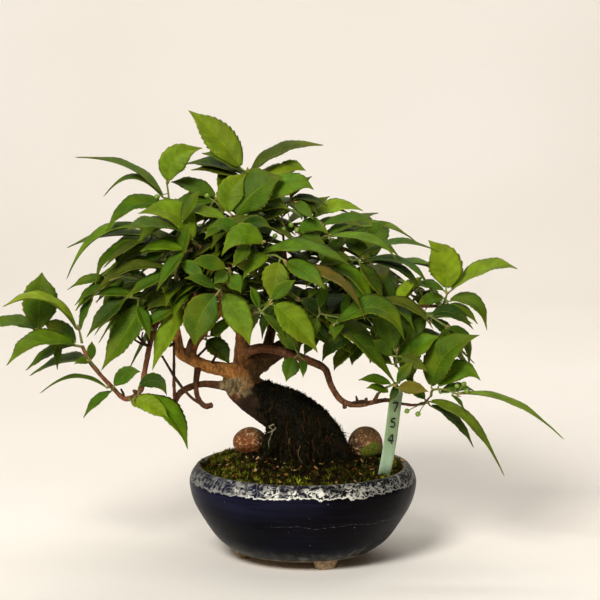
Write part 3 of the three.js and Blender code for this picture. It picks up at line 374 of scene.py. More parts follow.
SHOOTS = {
    "low_left_end": shoot(
        [(84, 347, -62), (60, 342, -63), (38, 331, -64)], (38, 330, 42, 272, 36, -4, 0.62),
        (37, 331, -24, 335, 12, 4, 0.42, 10, 322), (76, 342, 42, 322, 22, 0, 0.5),
        (75, 344, 6, 366, 18, 18, 0.42, 40, 342), (72, 345, 25, 371, 9, -8), (60, 342, 57, 370, 8, 6)),
    "low_left_upper": shoot(
        [(82, 343, -63), (79, 329, -63)], (77, 329, 2, 307, 8, -2, 0.42, 44, 300),
        (80, 329, 96, 290, 8, -8)),
    "low_left_middle": shoot(
        [(96, 368, -63), (90, 361, -67)], (91, 361, 74, 364, 7, 8), (91, 360, 92, 341, 9, 6),
        (88, 361, 29, 376, 10, 8), twig=[(100, 374, -61, 1.6), (94, 366, -64, 1.3)]),
    "low_left_spur": shoot(
        [(114, 389, -63), (109, 387, -68)], (107, 387, 39, 394, 3, 6, 0.2, 73, 377),
        (111, 391, 83, 418, 9, 12), (114, 386, 141, 372, 15, 4, 0.5, 127, 374),
        twig=[(116, 391, -60, 1.8), (113, 389, -64, 1.3)]),
    "low_left_front": shoot(
        [(129, 399, -62), (133, 401, -68), (138, 398, -72)], (131, 400, 170, 420, 18, 26, 0.5, 150, 405),
        (136, 399, 188, 450, 21, 0, 0.42, 168, 413), (139, 386, 167, 396, 15, 8, 0.5, 156, 381),
        twig=[(128, 398, -58, 1.9), (130, 399, -63, 1.3)]),
    "crown_far_left": shoot(
        [(185, 234, -34), (172, 212, -40), (167, 184, -42)], (164, 198, 74, 157, 7, -6, 0.24, 128, 167),
        (163, 197, 103, 197, 6, 12, 0.26, 132, 178), (169, 182, 203, 148, 27, 0, 0.56, 176, 158),
        (166, 207, 105, 234, 14, 4, 0.42, 132, 206), (176, 217, 137, 243, 14, 20),
        twig=[(196, 254, -28, 1.9), (184, 232, -34, 1.5)], berries=[(157, 197, -46), (160, 203, -38)]),
    "left_upper": shoot(
        [(200, 247, -41), (186, 233, -56), (180, 226, -60)], (193, 240, 137, 214, 24, 16, 0.5, 174, 214),
        (183, 228, 138, 222, 9, -8), (185, 232, 126, 230, 12, 12, 0.42, 155, 226),
        (182, 222, 200, 190, 12, -10), twig=[(203, 262, -26, 1.9), (200, 246, -42, 1.4)]),
    "left_long": shoot(
        [(183, 248, -36), (162, 240, -46), (148, 232, -52)], (148, 228, 66, 280, 9, 4, 0.33, 98, 237),
        (178, 243, 95, 288, 14, 14, 0.42, 118, 251), (150, 240, 103, 268, 10, 16),
        (146, 236, 66, 248, 7, -10, 0.3, 104, 236), (165, 245, 140, 276, 14, 14),
        twig=[(193, 252, -30, 1.9), (181, 248, -36, 1.4)]),
    "left_edge": shoot(
        [(152, 281, -47), (126, 276, -54), (106, 282, -58)], (106, 279, 67, 290, 9, 0, 0.3, 87, 280),
        (110, 280, 74, 306, 10, 10), (104, 285, 75, 311, 8, 2), (124, 280, 100, 318, 14, 12),
        (136, 276, 112, 252, 14, -8), twig=[(166, 288, -42, 1.8), (150, 280, -48, 1.4)]),
    "left_low": shoot(
        [(151, 303, -46), (143, 299, -60), (128, 297, -68)], (143, 303, 101, 371, 25, 10, 0.42, 125, 334),
        (126, 298, 86, 338, 18, 4), (132, 294, 92, 296, 12, 8), (138, 306, 150, 340, 12, 14),
        twig=[(158, 303, -30, 1.8), (150, 303, -48, 1.4)]),
    "left_front": shoot(
        [(176, 285, -56), (176, 270, -72), (184, 252, -80)], (172, 273, 121, 302, 15, 8),
        (184, 252, 156, 292, 12, 10), (184, 250, 139, 252, 12, 4, 0.42, 160, 246),
        (181, 262, 206, 282, 16, 8), (180, 258, 190, 222, 12, -6),
        twig=[(180, 291, -36, 1.8), (176, 284, -58, 1.4)]),
    "left_hanging": shoot(
        [(189, 301, -45), (184, 306, -58)], (183, 308, 152, 371, 20, 12, 0.42, 168, 333),
        (179, 306, 140, 332, 14, 12), (182, 304, 146, 312, 13, 4, 0.42, 162, 300),
        twig=[(192, 294, -29, 1.9), (189, 302, -46, 1.4)]),
    "apex": shoot(
        [(247, 190, -10), (247, 172, -14)], (241, 168, 188, 110, 30, -4, 0.42, 217, 137),
        (246, 175, 183, 164, 11, -14), (244, 180, 190, 170, 8, 14), (241, 173, 201, 153, 7, 20),
        (250, 172, 324, 145, 12, 4, 0.42, 284, 151), (251, 184, 306, 170, 11, 14, 0.42, 276, 172),
        twig=[(244, 204, -8, 1.9), (247, 188, -10, 1.4)]),
    "apex_left": shoot(
        [(231, 207, -16), (218, 198, -24)], (216, 197, 170, 182, 16), (217, 200, 165, 212, 14, 10),
        (224, 201, 222, 168, 14, -8), (216, 202, 190, 226, 14, 12),
        twig=[(240, 216, -9, 1.9), (230, 206, -16, 1.4)]),
    "front_upper": shoot(
        [(235, 229, -32), (233, 216, -50)], (230, 213, 248, 173, 31, -6, 0.62, 232, 190),
        (236, 215, 283, 177, 38, 6, 0.8, 257, 190), (226, 219, 182, 212, 10, 10),
        (227, 221, 204, 240, 12, 14), (237, 220, 262, 236, 12, 12),
        twig=[(235, 236, -10, 2), (235, 228, -34, 1.4)], berries=[(246, 215, -54), (207, 196, -44)]),
    "upper_right": shoot(
        [(278, 205, -31), (294, 201, -40)], (268, 203, 314, 189, 18, 6, 0.42, 290, 188),
        (295, 198, 328, 206, 7, -6), (290, 199, 312, 176, 8, -12), (294, 202, 314, 220, 13, 8),
        (276, 210, 290, 228, 10, 12), (288, 206, 262, 224, 12, 16),
        twig=[(242, 212, -9, 1.9), (262, 208, -22, 1.6), (280, 205, -32, 1.3)]),
    "right_shoulder": shoot(
        [(296, 224, -10), (314, 221, -16)], (312, 219, 364, 211, 12, 2, 0.42, 336, 207),
        (315, 224, 366, 228, 8, -8), (314, 224, 304, 251, 24, 14, 0.62), (304, 220, 330, 196, 10, -14),
        (300, 228, 330, 244, 14, 14),
        twig=[(240, 222, -9, 1.8), (272, 226, -6, 1.6), (298, 224, -10, 1.3)]),
    "front_middle": shoot(
        [(240, 245, -60), (246, 238, -74), (262, 242, -82)], (240, 231, 272, 229, 14, 4, 0.42, 256, 222),
        (263, 244, 221, 257, 21, 10, 0.5, 241, 235), (240, 236, 208, 229, 13, 2, 0.42, 226, 224),
        (250, 246, 232, 268, 16, 14),
        twig=[(230, 258, -8, 2.2), (238, 250, -40, 1.7), (240, 244, -62, 1.3)]),
    "front_right": shoot(
        [(262, 259, -60), (274, 255, -74), (284, 260, -80)], (270, 256, 243, 280, 14, 10, 0.42, 254, 263),
        (279, 262, 271, 303, 34, 4, 0.66), (262, 253, 354, 268, 12, -2, 0.42, 310, 250),
        (286, 265, 366, 322, 10, 6, 0.28, 338, 282), (286, 262, 326, 290, 18, 14),
        twig=[(228, 262, -8, 2.2), (252, 262, -40, 1.7), (264, 258, -62, 1.3)]),
    "front_low_left": shoot(
        [(221, 290, -70), (220, 290, -84)], (216, 295, 195, 347, 38, 6, 0.62, 200, 318),
        (222, 295, 250, 346, 30, 8, 0.5, 239, 316), (216, 288, 184, 278, 10, 10),
        twig=[(224, 296, -12, 2.6), (222, 290, -44, 1.8), (221, 290, -72, 1.4)]),
    "front_pair": shoot(
        [(231, 273, -82), (230, 270, -94)], (228, 272, 214, 284, 14, 2, 0.8),
        (230, 275, 241, 293, 17, 2, 0.8), (226, 268, 190, 262, 14, 10),
        twig=[(222, 286, -16, 2.4), (228, 278, -58, 1.6), (231, 273, -84, 1.3)]),
    "front_low": shoot(
        [(254, 313, -66), (262, 311, -80), (270, 304, -86)], (264, 314, 289, 349, 9, 10),
        (274, 305, 318, 353, 28, 6, 0.52), (264, 308, 290, 300, 9, 8), (259, 308, 250, 286, 9, 4),
        (272, 300, 296, 280, 14, 4), twig=[(240, 316, -5, 3), (250, 314, -44, 1.8), (256, 313, -68, 1.3)]),
    "right_long": shoot(
        [(284, 244, -1), (290, 240, -14), (318, 244, -26)], (319, 242, 374, 250, 8, 6, 0.3, 346, 232),
        (320, 241, 354, 226, 9, 18), (318, 248, 344, 282, 18, 12), (296, 246, 300, 276, 16, 12),
        twig=[(286, 266, 64, 2), (284, 252, 30, 1.8), (284, 244, -2, 1.4)]),
    "right_upper": shoot(
        [(339, 245, 6), (341, 236, 0), (366, 238, -8)], (344, 233, 418, 243, 7, -2, 0.26, 382, 226),
        (368, 241, 399, 256, 8, 8), (367, 235, 390, 222, 9, -10), (340, 240, 326, 262, 16, 16),
        (345, 240, 372, 262, 14, 16), twig=[(352, 286, 22, 2), (346, 262, 12, 1.6), (338, 244, 6, 1.3)]),
    "right_middle": shoot(
        [(352, 267, -17), (353, 261, -30), (362, 258, -38)], (348, 264, 378, 319, 22, 12, 0.5, 360, 288),
        (357, 260, 440, 252, 7, -2, 0.24, 396, 243), (360, 262, 434, 298, 7, 8, 0.26, 406, 264),
        (360, 264, 384, 302, 13, 14), (350, 258, 318, 266, 14, 10),
        twig=[(350, 288, 20, 2), (352, 276, 0, 1.6), (352, 266, -18, 1.3)]),
    "right_spur": shoot(
        [(393, 307, -15), (396, 302, -24)], (393, 300, 375, 273, 23, -4, 0.62),
        (399, 304, 424, 276, 11, 2), (394, 306, 362, 318, 14, 10), (398, 307, 408, 338, 16, 12),
        twig=[(388, 305, -6, 1.7), (394, 308, -16, 1.3)]),
    "right_end": shoot(
        [(444, 304, -19), (447, 294, -26)], (446, 289, 428, 240, 34, -2, 0.66, 444, 262),
        (450, 291, 518, 269, 13, 4, 0.42, 486, 268), (449, 301, 487, 331, 13, 8, 0.42, 474, 303),
        (449, 304, 478, 324, 9, 16), (444, 290, 414, 286, 8, 8), (444, 298, 416, 306, 12, 12),
        twig=[(438, 306, -16, 1.4), (445, 304, -20, 1.2)]),
    "right_low": shoot(
        [(423, 311, -25), (430, 316, -36), (446, 326, -42)], (432, 315, 474, 330, 13, 0, 0.42, 452, 313),
        (426, 318, 404, 346, 16, 10), (448, 328, 469, 368, 10, -4, 0.42, 464, 340),
        (446, 328, 444, 354, 14, -4), (428, 314, 404, 322, 12, -4),
        twig=[(418, 306, -13, 1.6), (424, 312, -26, 1.3)]),
    "right_front": shoot(
        [(396, 366, -34), (396, 364, -44), (397, 352, -54)], (399, 362, 440, 336, 22, 8, 0.56),
        (394, 350, 379, 302, 28, 0, 0.56), (392, 364, 364, 352, 10, 8), (398, 368, 415, 384, 12, 10),
        (400, 356, 428, 372, 16, 8), (392, 356, 372, 340, 14, 12)),
    "low_right_end": shoot(
        [(431, 396, -36), (433, 390, -44), (446, 390, -52), (457, 394, -56)],
        (431, 387, 480, 335, 30, 16, 0.5, 446, 354), (438, 387, 481, 381, 20, 4, 0.5, 460, 370),
        (440, 393, 475, 391, 9, 10, 0.42, 457, 388), (459, 393, 565, 440, 8, 2, 0.26, 514, 404),
        (452, 395, 466, 412, 4, 6, 0.3), berries=[(457, 386, -58), (464, 384, -60), (467, 391, -57)]),
    "low_right_front": shoot(
        [(425, 403, -46), (428, 402, -56)], (429, 401, 505, 477, 15, 10, 0.34, 470, 424),
        (430, 405, 474, 448, 9, 0, 0.34, 456, 423), (425, 399, 404, 382, 12, 8),
        twig=[(420, 404, -34, 1.4), (425, 403, -48, 1.1)], berries=[(407, 411, -50), (418, 414, -54)]),
    "label": shoot(
        [(377, 395, -46), (385, 388, -58), (393, 385, -60)], (391, 384, 358, 380, 9, 4),
        (388, 392, 366, 388, 8, 10), (398, 388, 429, 392, 14, 8), (397, 383, 414, 362, 14, -4),
        twig=[(374, 402, -36, 1.8), (378, 394, -48, 1.3)]),
    "right_hanging": shoot(
        [(320, 312, -40), (322, 314, -56), (340, 318, -62)], (326, 317, 397, 386, 20, 10, 0.42, 358, 340),
        (342, 319, 398, 319, 16, 4, 0.42, 370, 312), (319, 308, 327, 282, 12, -2),
        (342, 314, 352, 290, 8, -2), (340, 322, 334, 340, 13, 10), (317, 318, 312, 342, 15, 12),
        twig=[(322, 316, 22, 2), (320, 312, -14, 1.7), (320, 312, -42, 1.3)]),
    "under_middle": shoot(
        [(298, 353, -29), (300, 356, -42)], (294, 358, 286, 382, 20, 8, 0.7), (304, 360, 303, 378, 10, 6),
        (296, 350, 276, 334, 14, -4), twig=[(298, 357, -18, 2.2), (298, 352, -30, 1.3)]),
    "under_left": shoot(
        [(206, 333, -4), (206, 340, 6)], (207, 340, 230, 365, 20, 14, 0.6), (203, 339, 186, 322, 14, 8),
        (210, 336, 236, 322, 12, 14), twig=[(205, 328, -11, 2.4), (206, 334, -2, 1.4)]),
}

# The far side's shoots: the limb that each grows from, and the point it ends at
FAR_SHOOTS = [
    ("backLeft", (190, 266, 62)), ("backLeft", (158, 250, 46)), ("backLeft", (146, 288, 50)),
    ("backLeft", (204, 232, 76)), ("backLeft", (182, 306, 82)), ("back", (246, 246, 92)),
    ("back", (282, 216, 60)), ("back", (232, 206, 42)), ("back", (290, 282, 104)),
    ("back", (244, 300, 98)), ("backRight", (330, 248, 80)), ("backRight", (372, 264, 50)),
    ("backRight", (352, 308, 86)), ("farRight", (412, 330, 28)),
]
FAR_PAIRS = 3
FAR_LEAF = 62

# What each leaf looks like, by its tip. The others are plain green. Besides each leaf's own colour, the tones
# hold painted light and shade: dark is partly painted shade for leaves in the crown's shade, light and bright
# are partly painted light on leaves that face the lamp, and yellow is partly a painted glow of light through
# the blade.
TONES = {
    "green": linear(58, 86, 7), "dark": linear(33, 56, 6), "light": linear(92, 118, 16),
    "bright": linear(74, 110, 6), "yellow": linear(116, 136, 12), "olive": linear(66, 76, 12),
    "brown": linear(98, 84, 24),
}
TONE_OF = {
    "dark": [(183, 164), (171, 182), (142, 221), (42, 322), (86, 338), (328, 206), (262, 224), (272, 229),
             (374, 250), (384, 302), (375, 273), (474, 330), (474, 448), (428, 372), (230, 365), (167, 396),
             (146, 312)],
    "light": [(188, 110), (250, 346), (271, 303), (565, 440), (152, 371), (505, 477), (318, 353), (66, 280),
              (418, 243), (137, 214), (75, 311), (6, 366), (248, 173), (182, 212), (304, 251), (203, 148)],
    "bright": [(243, 280), (354, 268), (378, 319), (188, 450), (440, 336), (139, 252), (221, 257),
               (481, 381)],
    "yellow": [(424, 276), (364, 211), (2, 307), (170, 420), (306, 170), (428, 240), (314, 189), (518, 269)],
    "olive": [(190, 170), (103, 268), (324, 145)],
    "brown": [(366, 322), (429, 392)],
}
# How much slimmer some blades look than they are wide in the solids, by the tip
SLIMMER = {
    (565, 440): 0.66, (505, 477): 0.74, (66, 280): 0.85, (95, 288): 0.78, (103, 268): 0.78, (140, 276): 0.8,
    (74, 306): 0.8, (100, 318): 0.78, (86, 338): 0.84, (121, 302): 0.74, (140, 332): 0.86, (92, 296): 0.8,
    (139, 252): 0.85, (378, 319): 0.85, (344, 282): 0.85,
}
TONE_BY_TIP = {tip: name for name, tips in TONE_OF.items() for tip in tips}

BENDS = [0, 7, -7, 14, -14, 22, -22, 31, -31, 42, -42, 54]
BLADE_FOLD = 0.22
LARGE_BLADE = 16
STATIONS = {False: [0.16, 0.46, 0.8], True: [0.12, 0.36, 0.62, 0.86]}
STEM_RADIUS = 1.05
# A solid holds a leaf when this many of its corners lie within so many mm of the solid's points
HELD_CORNERS, MATCH = 3, 0.08


def outline(share):
    """Half width of a blade along its rib, 1 at its widest."""
    share = np.asarray(share, float)
    return share ** 0.75 * (1 - share) ** 1.05 / 0.2945


def blade_form(root, start, middle, end, half, seed, tone, roll=None, slim=1):
    """What a blade is made from: its rib bends over its middle, and half is half its width."""
    return {"root": root, "start": start, "end": end, "control": 2 * middle - start / 2 - end / 2,
            "half": half, "seed": seed, "tone": tone, "roll": roll, "slim": slim}


def stem_point_by(stem, pixel):
    """The point of a stem, clear of its bare start, that lies nearest to a pixel."""
    rows = curve_rows(stem, 13)[4:]
    return rows[np.argmin(np.hypot(rows[:, 0] - pixel[0], rows[:, 1] - pixel[1]))]


def leaf_in_view(foot, leaf, bend=0):
    tip_depth = foot[2] - leaf["near"] + bend
    start, end = seen(*leaf["from"], foot[2]), seen(*leaf["to"], tip_depth)
    length = np.linalg.norm(end - start)
    if leaf["via"]:
        middle = seen(*leaf["via"], (foot[2] + tip_depth) / 2)
    else:
        middle = (start + end) / 2 + VIEW_UP * 0.07 * length
    half = length * leaf["ratio"] / 2
    roll = math.acos(min(1, leaf["wide"] * MM_PER_PIXEL / (2 * half)))
    return blade_form(seen(*foot), start, middle, end, half, leaf["from"][0] + leaf["to"][1],
                      TONE_BY_TIP.get(leaf["to"], "green"), roll, SLIMMER.get(leaf["to"], 1))


def rib_rows(form, shares):
    s = np.asarray(shares, float)[:, None]
    a, c, b = form["start"], form["control"], form["end"]
    rows = (1 - s) ** 2 * a + 2 * s * (1 - s) * c + s * s * b
    return rows, unit(2 * (1 - s) * (c - a) + 2 * s * (b - c))


def facing(form, rows, along, steady=False):
    if form["roll"] is None:
        return unit(UP - along * along[:, 2:])
    eye = unit(EYE - rows)
    eye = unit(eye - along * np.sum(eye * along, axis=1, keepdims=True))
    rising = np.cross(eye, along)
    turned = np.sign(rising[:, 2:])
    if steady:
        turned = np.full_like(turned, turned[len(turned) // 2])
    return unit(eye * math.cos(form["roll"]) + rising * np.where(turned < 0, -1, 1) * math.sin(form["roll"]))


def edge_waves(form, sign, count):
    """How far the solid's edge is lifted and widened at each of its stations."""
    lifts = [BLADE_FOLD + 0.16 * (draw(form["seed"], k * sign) - 0.5) for k in range(1, count + 1)]
    reaches = [1 + 0.1 * (draw(form["seed"] + 7, k * sign) - 0.5) for k in range(1, count + 1)]
    return np.array(lifts), np.array(reaches)


def solid_corners(form):
    """The corners of the solid blade: its edges at each station, and its tip."""
    shares = STATIONS[form["half"] > LARGE_BLADE]
    rows, along = rib_rows(form, shares)
    normal = facing(form, rows, along)
    side = np.cross(along, normal)
    width = form["half"] * outline(shares)
    corners = [form["end"]]
    for sign in (-1, 1):
        lifts, reaches = edge_waves(form, sign, len(shares))
        corners.extend(rows + side * (sign * width * reaches)[:, None] + normal * (lifts * width)[:, None])
    return corners


def tree_of(node):
    return kd_tree([(np.array(v.co) - AXIS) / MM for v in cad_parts[node].data.vertices])


def as_built(tree, forms):
    """The form whose corners the solid holds, or None if the solid has no such leaf."""
    counts = [sum(tree.find(corner)[2] < MATCH for corner in solid_corners(form)) for form in forms]
    best = int(np.argmax(counts))
    return forms[best] if counts[best] >= HELD_CORNERS else None


COLUMNS = np.array([-1, -0.76, -0.5, -0.24, 0, 0.24, 0.5, 0.76, 1.0])


@cache
def blade_faces(rows, across):
    top = [[r * across + c for c in range(across)] for r in range(rows)]
    base = rows * across
    inner = across - 2
    under = [[top[r][0]] + [base + r * inner + c for c in range(inner)] + [top[r][-1]] for r in range(rows)]
    tip = base + rows * inner
    faces = []
    for c in range(across - 1):
        for r in range(rows - 1):
            faces.append((top[r][c], top[r][c + 1], top[r + 1][c + 1], top[r + 1][c]))
            faces.append((under[r][c], under[r + 1][c], under[r + 1][c + 1], under[r][c + 1]))
        faces.append((top[-1][c], top[-1][c + 1], tip))
        faces.append((under[-1][c], tip, under[-1][c + 1]))
    faces.append(tuple(top[0][::-1] + under[0][1:-1]))
    return faces


def tone_for(form):
    tone = TONES[form["tone"]].copy()
    seed = form["seed"]
    tone *= 0.9 + 0.32 * draw(seed, 21)
    tone[0] *= 0.88 + 0.26 * draw(seed, 22)
    tone[2] *= 0.8 + 0.5 * draw(seed, 23)
    return tone


def add_blade(soup, form, fine=True):
    """A thin leaf: toothed edge, drip tip, two arched halves, veins pressed in between raised panels."""
    seed, half = form["seed"], form["half"] * form["slim"]
    length = np.linalg.norm(form["end"] - form["start"])
    columns = COLUMNS if fine else COLUMNS[::2]
    teeth = int(np.clip(round(length / 4.4), 7, 16)) if fine else 7
    steps = [(k + part) / teeth for k in range(teeth) for part in ((0.0, 0.5, 0.88) if fine else (0.0, 0.8))]
    shares = np.array([0.025] + [s for s in steps if 0.04 < s < 0.985])
    rows, along = rib_rows(form, shares)
    normal = facing(form, rows, along, steady=True)
    side = np.cross(along, normal)
    slim = float(smooth(0.4, 0.27, 2 * half / length))
    drip = (0.38 + 0.24 * slim) * smooth(0.68 - 0.1 * slim, 0.92 - 0.06 * slim, shares)
    width = half * np.maximum(outline(shares) * (1 - drip), 0.025)
    width *= 1 - 0.16 * smooth(0.3, 0.02, shares)
    tooth = (shares * teeth) % 1.0
    bite = (0.075 + 0.05 * draw(seed, 31)) * smooth(0.12, 0.3, shares) * smooth(1.0, 0.8, shares)
    marked = STATIONS[form["half"] > LARGE_BLADE]
    panels = 6.5 + 2 * draw(seed, 32)
    puff = min(0.75, 0.055 * half) * (0.7 + 0.5 * draw(seed, 33))
    top = np.zeros((len(shares), len(columns), 3))
    for c, t in enumerate(columns):
        sign = -1 if t < 0 else 1
        lifts, reaches = edge_waves(form, sign, len(marked))
        lift = np.interp(shares, [0, *marked, 1], [0.3, *lifts, 0.2])
        reach = np.interp(shares, [0, *marked, 1], [1, *reaches, 1])
        reach = reach * (1 + bite * (tooth - 0.45) * (abs(t) > 0.9))
        fold = lift * (1.75 * abs(t) - 0.75 * t * t)
        waves = shares * (2.2 + draw(seed, 34)) + draw(seed, 35 + sign)
        ripple = 0.05 * t * t * np.sin(2 * math.pi * waves)
        phase = (shares - 0.19 * abs(t) ** 1.2) * panels
        raised = puff * np.abs(np.sin(math.pi * phase)) ** 0.8 * (abs(t) * (1 - abs(t) ** 3)) ** 0.6
        raised = raised * smooth(0.0, 0.12, shares) * smooth(1.0, 0.8, shares)
        top[:, c] = (rows + side * (t * width * reach)[:, None]
                     + normal * ((fold + ripple) * width + raised)[:, None])
    inner = columns[1:-1]
    ridge = 0.75 * np.exp(-((inner / 0.12) ** 2))[None, :] * (1 - 0.7 * shares[:, None])
    thick = 0.34 + 0.12 * (1 - np.abs(inner))[None, :] + ridge
    under = top[:, 1:-1] - normal[:, None, :] * thick[:, :, None]
    points = np.vstack([top.reshape(-1, 3), under.reshape(-1, 3), form["end"][None]])
    v = (columns + 1) / 2
    uv_top = np.stack(np.meshgrid(shares, v, indexing="ij"), -1).reshape(-1, 2)
    uv_under = np.stack(np.meshgrid(shares, v[1:-1], indexing="ij"), -1).reshape(-1, 2)
    mark = np.concatenate([np.zeros(len(uv_top)), np.ones(len(uv_under)), [0.0]])
    uv = np.vstack([uv_top, uv_under, [[1.0, 0.5]]])
    uv[:, 0] += int(97 * draw(seed, 36)) % 40
    soup.add(points, blade_faces(len(shares), len(columns)), tone_for(form), mark, uv, slot=0)


STEM_TONE = linear(98, 104, 42)
PETIOLE_TONE = linear(112, 128, 44)
BUD_TONE = linear(150, 128, 70)
BERRY_TONE = linear(96, 128, 34)
STALK_TONE = linear(108, 122, 52)
SCAR_TONE = linear(70, 60, 24)
YOUNG_STEM_TONE = linear(112, 132, 44)
BERRY_RADIUS = 2.15


def add_petiole(soup, form):
    rows, along = rib_rows(form, [0.0, 0.06, 0.13, 0.22])
    normal = facing(form, rows, along, steady=True)
    rows = rows - normal * np.array([0.35, 0.5, 0.55, 0.5])[:, None]
    inward = unit(form["root"] - rows[1])
    radii = np.interp(np.linspace(0, 1, 10), [0, 0.15, 0.5, 1], [0.95, 0.72, 0.62, 0.3])
    tone = PETIOLE_TONE * (0.8 + 0.4 * draw(form["seed"], 5))
    soup.add(*tube(curve_rows([form["root"] + inward * 0.2, *rows], 10), radii, 6), tone, slot=1)


def add_stem(soup, rows, seed):
    """A green stem that thins and pales to its end, with a pair of buds there."""
    sides = 7
    count = max(8, int(np.linalg.norm(rows[-1] - rows[0]) / 1.6))
    path = curve_rows(rows, count)
    shares = np.linspace(0, 1, count)[:, None]
    tone = STEM_TONE * (1 - 0.3 * shares) + YOUNG_STEM_TONE * 0.3 * shares
    points, faces = tube(path, STEM_RADIUS * (1.1 - 0.42 * shares[:, 0]), sides)
    soup.add(points, faces, np.vstack([np.repeat(tone, sides, axis=0), tone[:1], tone[-1:]]), slot=1)
    along = unit(path[-1] - path[-2])
    for k in range(2):
        turn = 2 * math.pi * draw(seed, 41 + k)
        aside = unit(np.cross(along, [math.cos(turn), math.sin(turn), 0.4]))
        foot = path[-1] + along * 0.4 + aside * 0.7
        bud = curve_rows([foot, foot + along * 1.7 + aside * 0.5, foot + along * 3.4 + aside * 0.2], 6)
        soup.add(*tube(bud, [0.7, 0.95, 0.9, 0.7, 0.45, 0.2], 6), BUD_TONE, slot=1)


def add_berry(soup, centre, root, seed):
    """A berry a little flat at its ends, the scar of its flower, and its stalk."""
    radius = BERRY_RADIUS * (0.9 + 0.2 * draw(seed, 1))
    inward = unit(root - centre)
    below = centre + inward * radius * 0.9
    tone = BERRY_TONE * (0.85 + 0.35 * draw(seed, 2))
    soup.add(*ball(centre, radius, 9, 12, (1, 1, 0.96)), tone, slot=2)
    soup.add(*ball(centre - inward * radius * 0.95, 0.4, 4, 6), SCAR_TONE, slot=1)
    soup.add(*tube(curve_rows([root, (root + below) / 2 + UP * 0.4, below], 6), 0.42, 5), STALK_TONE, slot=1)


def turn_about(vector, axis, angle):
    return (vector * math.cos(angle) + np.cross(axis, vector) * math.sin(angle)
            + axis * (axis @ vector) * (1 - math.cos(angle)))


def far_shoot(index, limb, at):
    end = seen(*at)
    rows = curve_rows(seen_rows(LIMBS[limb]), 21)[6:]
    origin = rows[np.argmin(np.linalg.norm(rows - end, axis=1))]
    seat = origin + (end - origin) * 0.55 - UP * 4
    return {"origin": origin, "seat": seat, "end": end, "index": index}


def far_leaves(one, bend):
    along = unit(one["end"] - one["seat"])
    level = unit(np.cross(along, UP))
    forms = []
    for pair in range(FAR_PAIRS):
        place = one["seat"] + (one["end"] - one["seat"]) * (0.3 + 0.7 * pair / (FAR_PAIRS - 1))
        for sign in (-1, 1):
            seed = 31 * one["index"] + 5 * pair + sign
            out = turn_about(level, along, one["index"] + pair * 1.45) * sign + along * 0.75
            out[2] = out[2] * 0.5 - 0.1
            out = unit(out)
            length = FAR_LEAF * (0.75 + 0.4 * draw(seed, 3)) * (1 - 0.12 * pair)
            start = place + out * 5
            tip = (start + out * length - UP * 0.22 * length + unit(np.cross(out, UP)) * bend
                   - UP * 0.3 * abs(bend))
            middle = (start + tip) / 2 + UP * 0.12 * length
            tone = ("green", "dark", "green", "bright", "olive", "light")[abs(seed) % 6]
            forms.append(blade_form(place, start, middle, tip, length * BLADE_RATIO / 2, abs(seed), tone))
    return forms


def build_shoot(name, choices, stem_rows, berries, seed, materials):
    """A shoot's stem and berries, and of each leaf the one of its choices that the solid holds, if any."""
    tree, soup = tree_of(name), Soup()
    add_stem(soup, stem_rows, seed)
    for forms in choices:
        form = as_built(tree, forms)
        if form:
            add_blade(soup, form)
            add_petiole(soup, form)
            PLACED.append(plain_blade(form))
    for k, (centre, root) in enumerate(berries):
        add_berry(soup, centre, root, seed + k)
    put(soup.object(name + "_fine", materials), name)


# The smaller, shaded leaves inside the crown, on short spurs of the limbs

# The crown's outline in pixels
CROWN = [
    (84, 262), (104, 228), (150, 200), (196, 180), (262, 178), (320, 206), (400, 236), (440, 292), (436, 336),
    (398, 352), (338, 352), (306, 334), (262, 318), (200, 306), (168, 330), (128, 334), (92, 312),
]
# The limbs with spurs: the shares of the limb that they start and end at, and how many there are
SPUR_LIMBS = {
    "upright": (0.42, 0.98, 13), "left": (0.62, 1.0, 6), "rising": (0.42, 1.0, 9), "inner": (0.2, 1.0, 7),
    "right": (0.4, 1.0, 12), "farRight": (0.15, 1.0, 12), "rightLow": (0.2, 0.9, 6), "back": (0.4, 1.0, 10),
    "backLeft": (0.3, 1.0, 9), "backRight": (0.3, 1.0, 10), "cascade": (0.02, 0.2, 3),
}
CROWN_CENTRE = (258, 300)
NEAR_BENDS = [0, 8, -8, 16, -16, 26, -26, 38, -38]
PLACED = []


def inside(outline_points, column, row):
    crossings = 0
    for (c0, r0), (c1, r1) in zip(outline_points, outline_points[1:] + outline_points[:1]):
        if (r0 > row) != (r1 > row) and column < c0 + (row - r0) * (c1 - c0) / (r1 - r0):
            crossings += 1
    return crossings % 2 == 1


def plain_blade(form):
    """A leaf as a few triangles, to test what it crosses: its tree, lowest and highest corner."""
    shares = [0.12, 0.4, 0.7]
    rows, along = rib_rows(form, shares)
    normal = facing(form, rows, along, steady=True)
    side = np.cross(along, normal) * (form["half"] * outline(shares))[:, None]
    lift = normal * (BLADE_FOLD * form["half"] * outline(shares))[:, None]
    points = np.vstack([rows - side + lift, rows, rows + side + lift, form["end"][None]])
    faces = [(k, k + 1, k + 4, k + 3) for k in (0, 1, 3, 4)] + [(2, 5, 9), (5, 8, 9)]
    return BVHTree.FromPolygons(points.tolist(), faces), points.min(axis=0), points.max(axis=0)


def is_clear(blade, wood_tree):
    tree, low, high = blade
    for other, other_low, other_high in PLACED:
        if np.all(low < other_high) and np.all(other_low < high) and tree.overlap(other):
            return False
    return not tree.overlap(wood_tree)
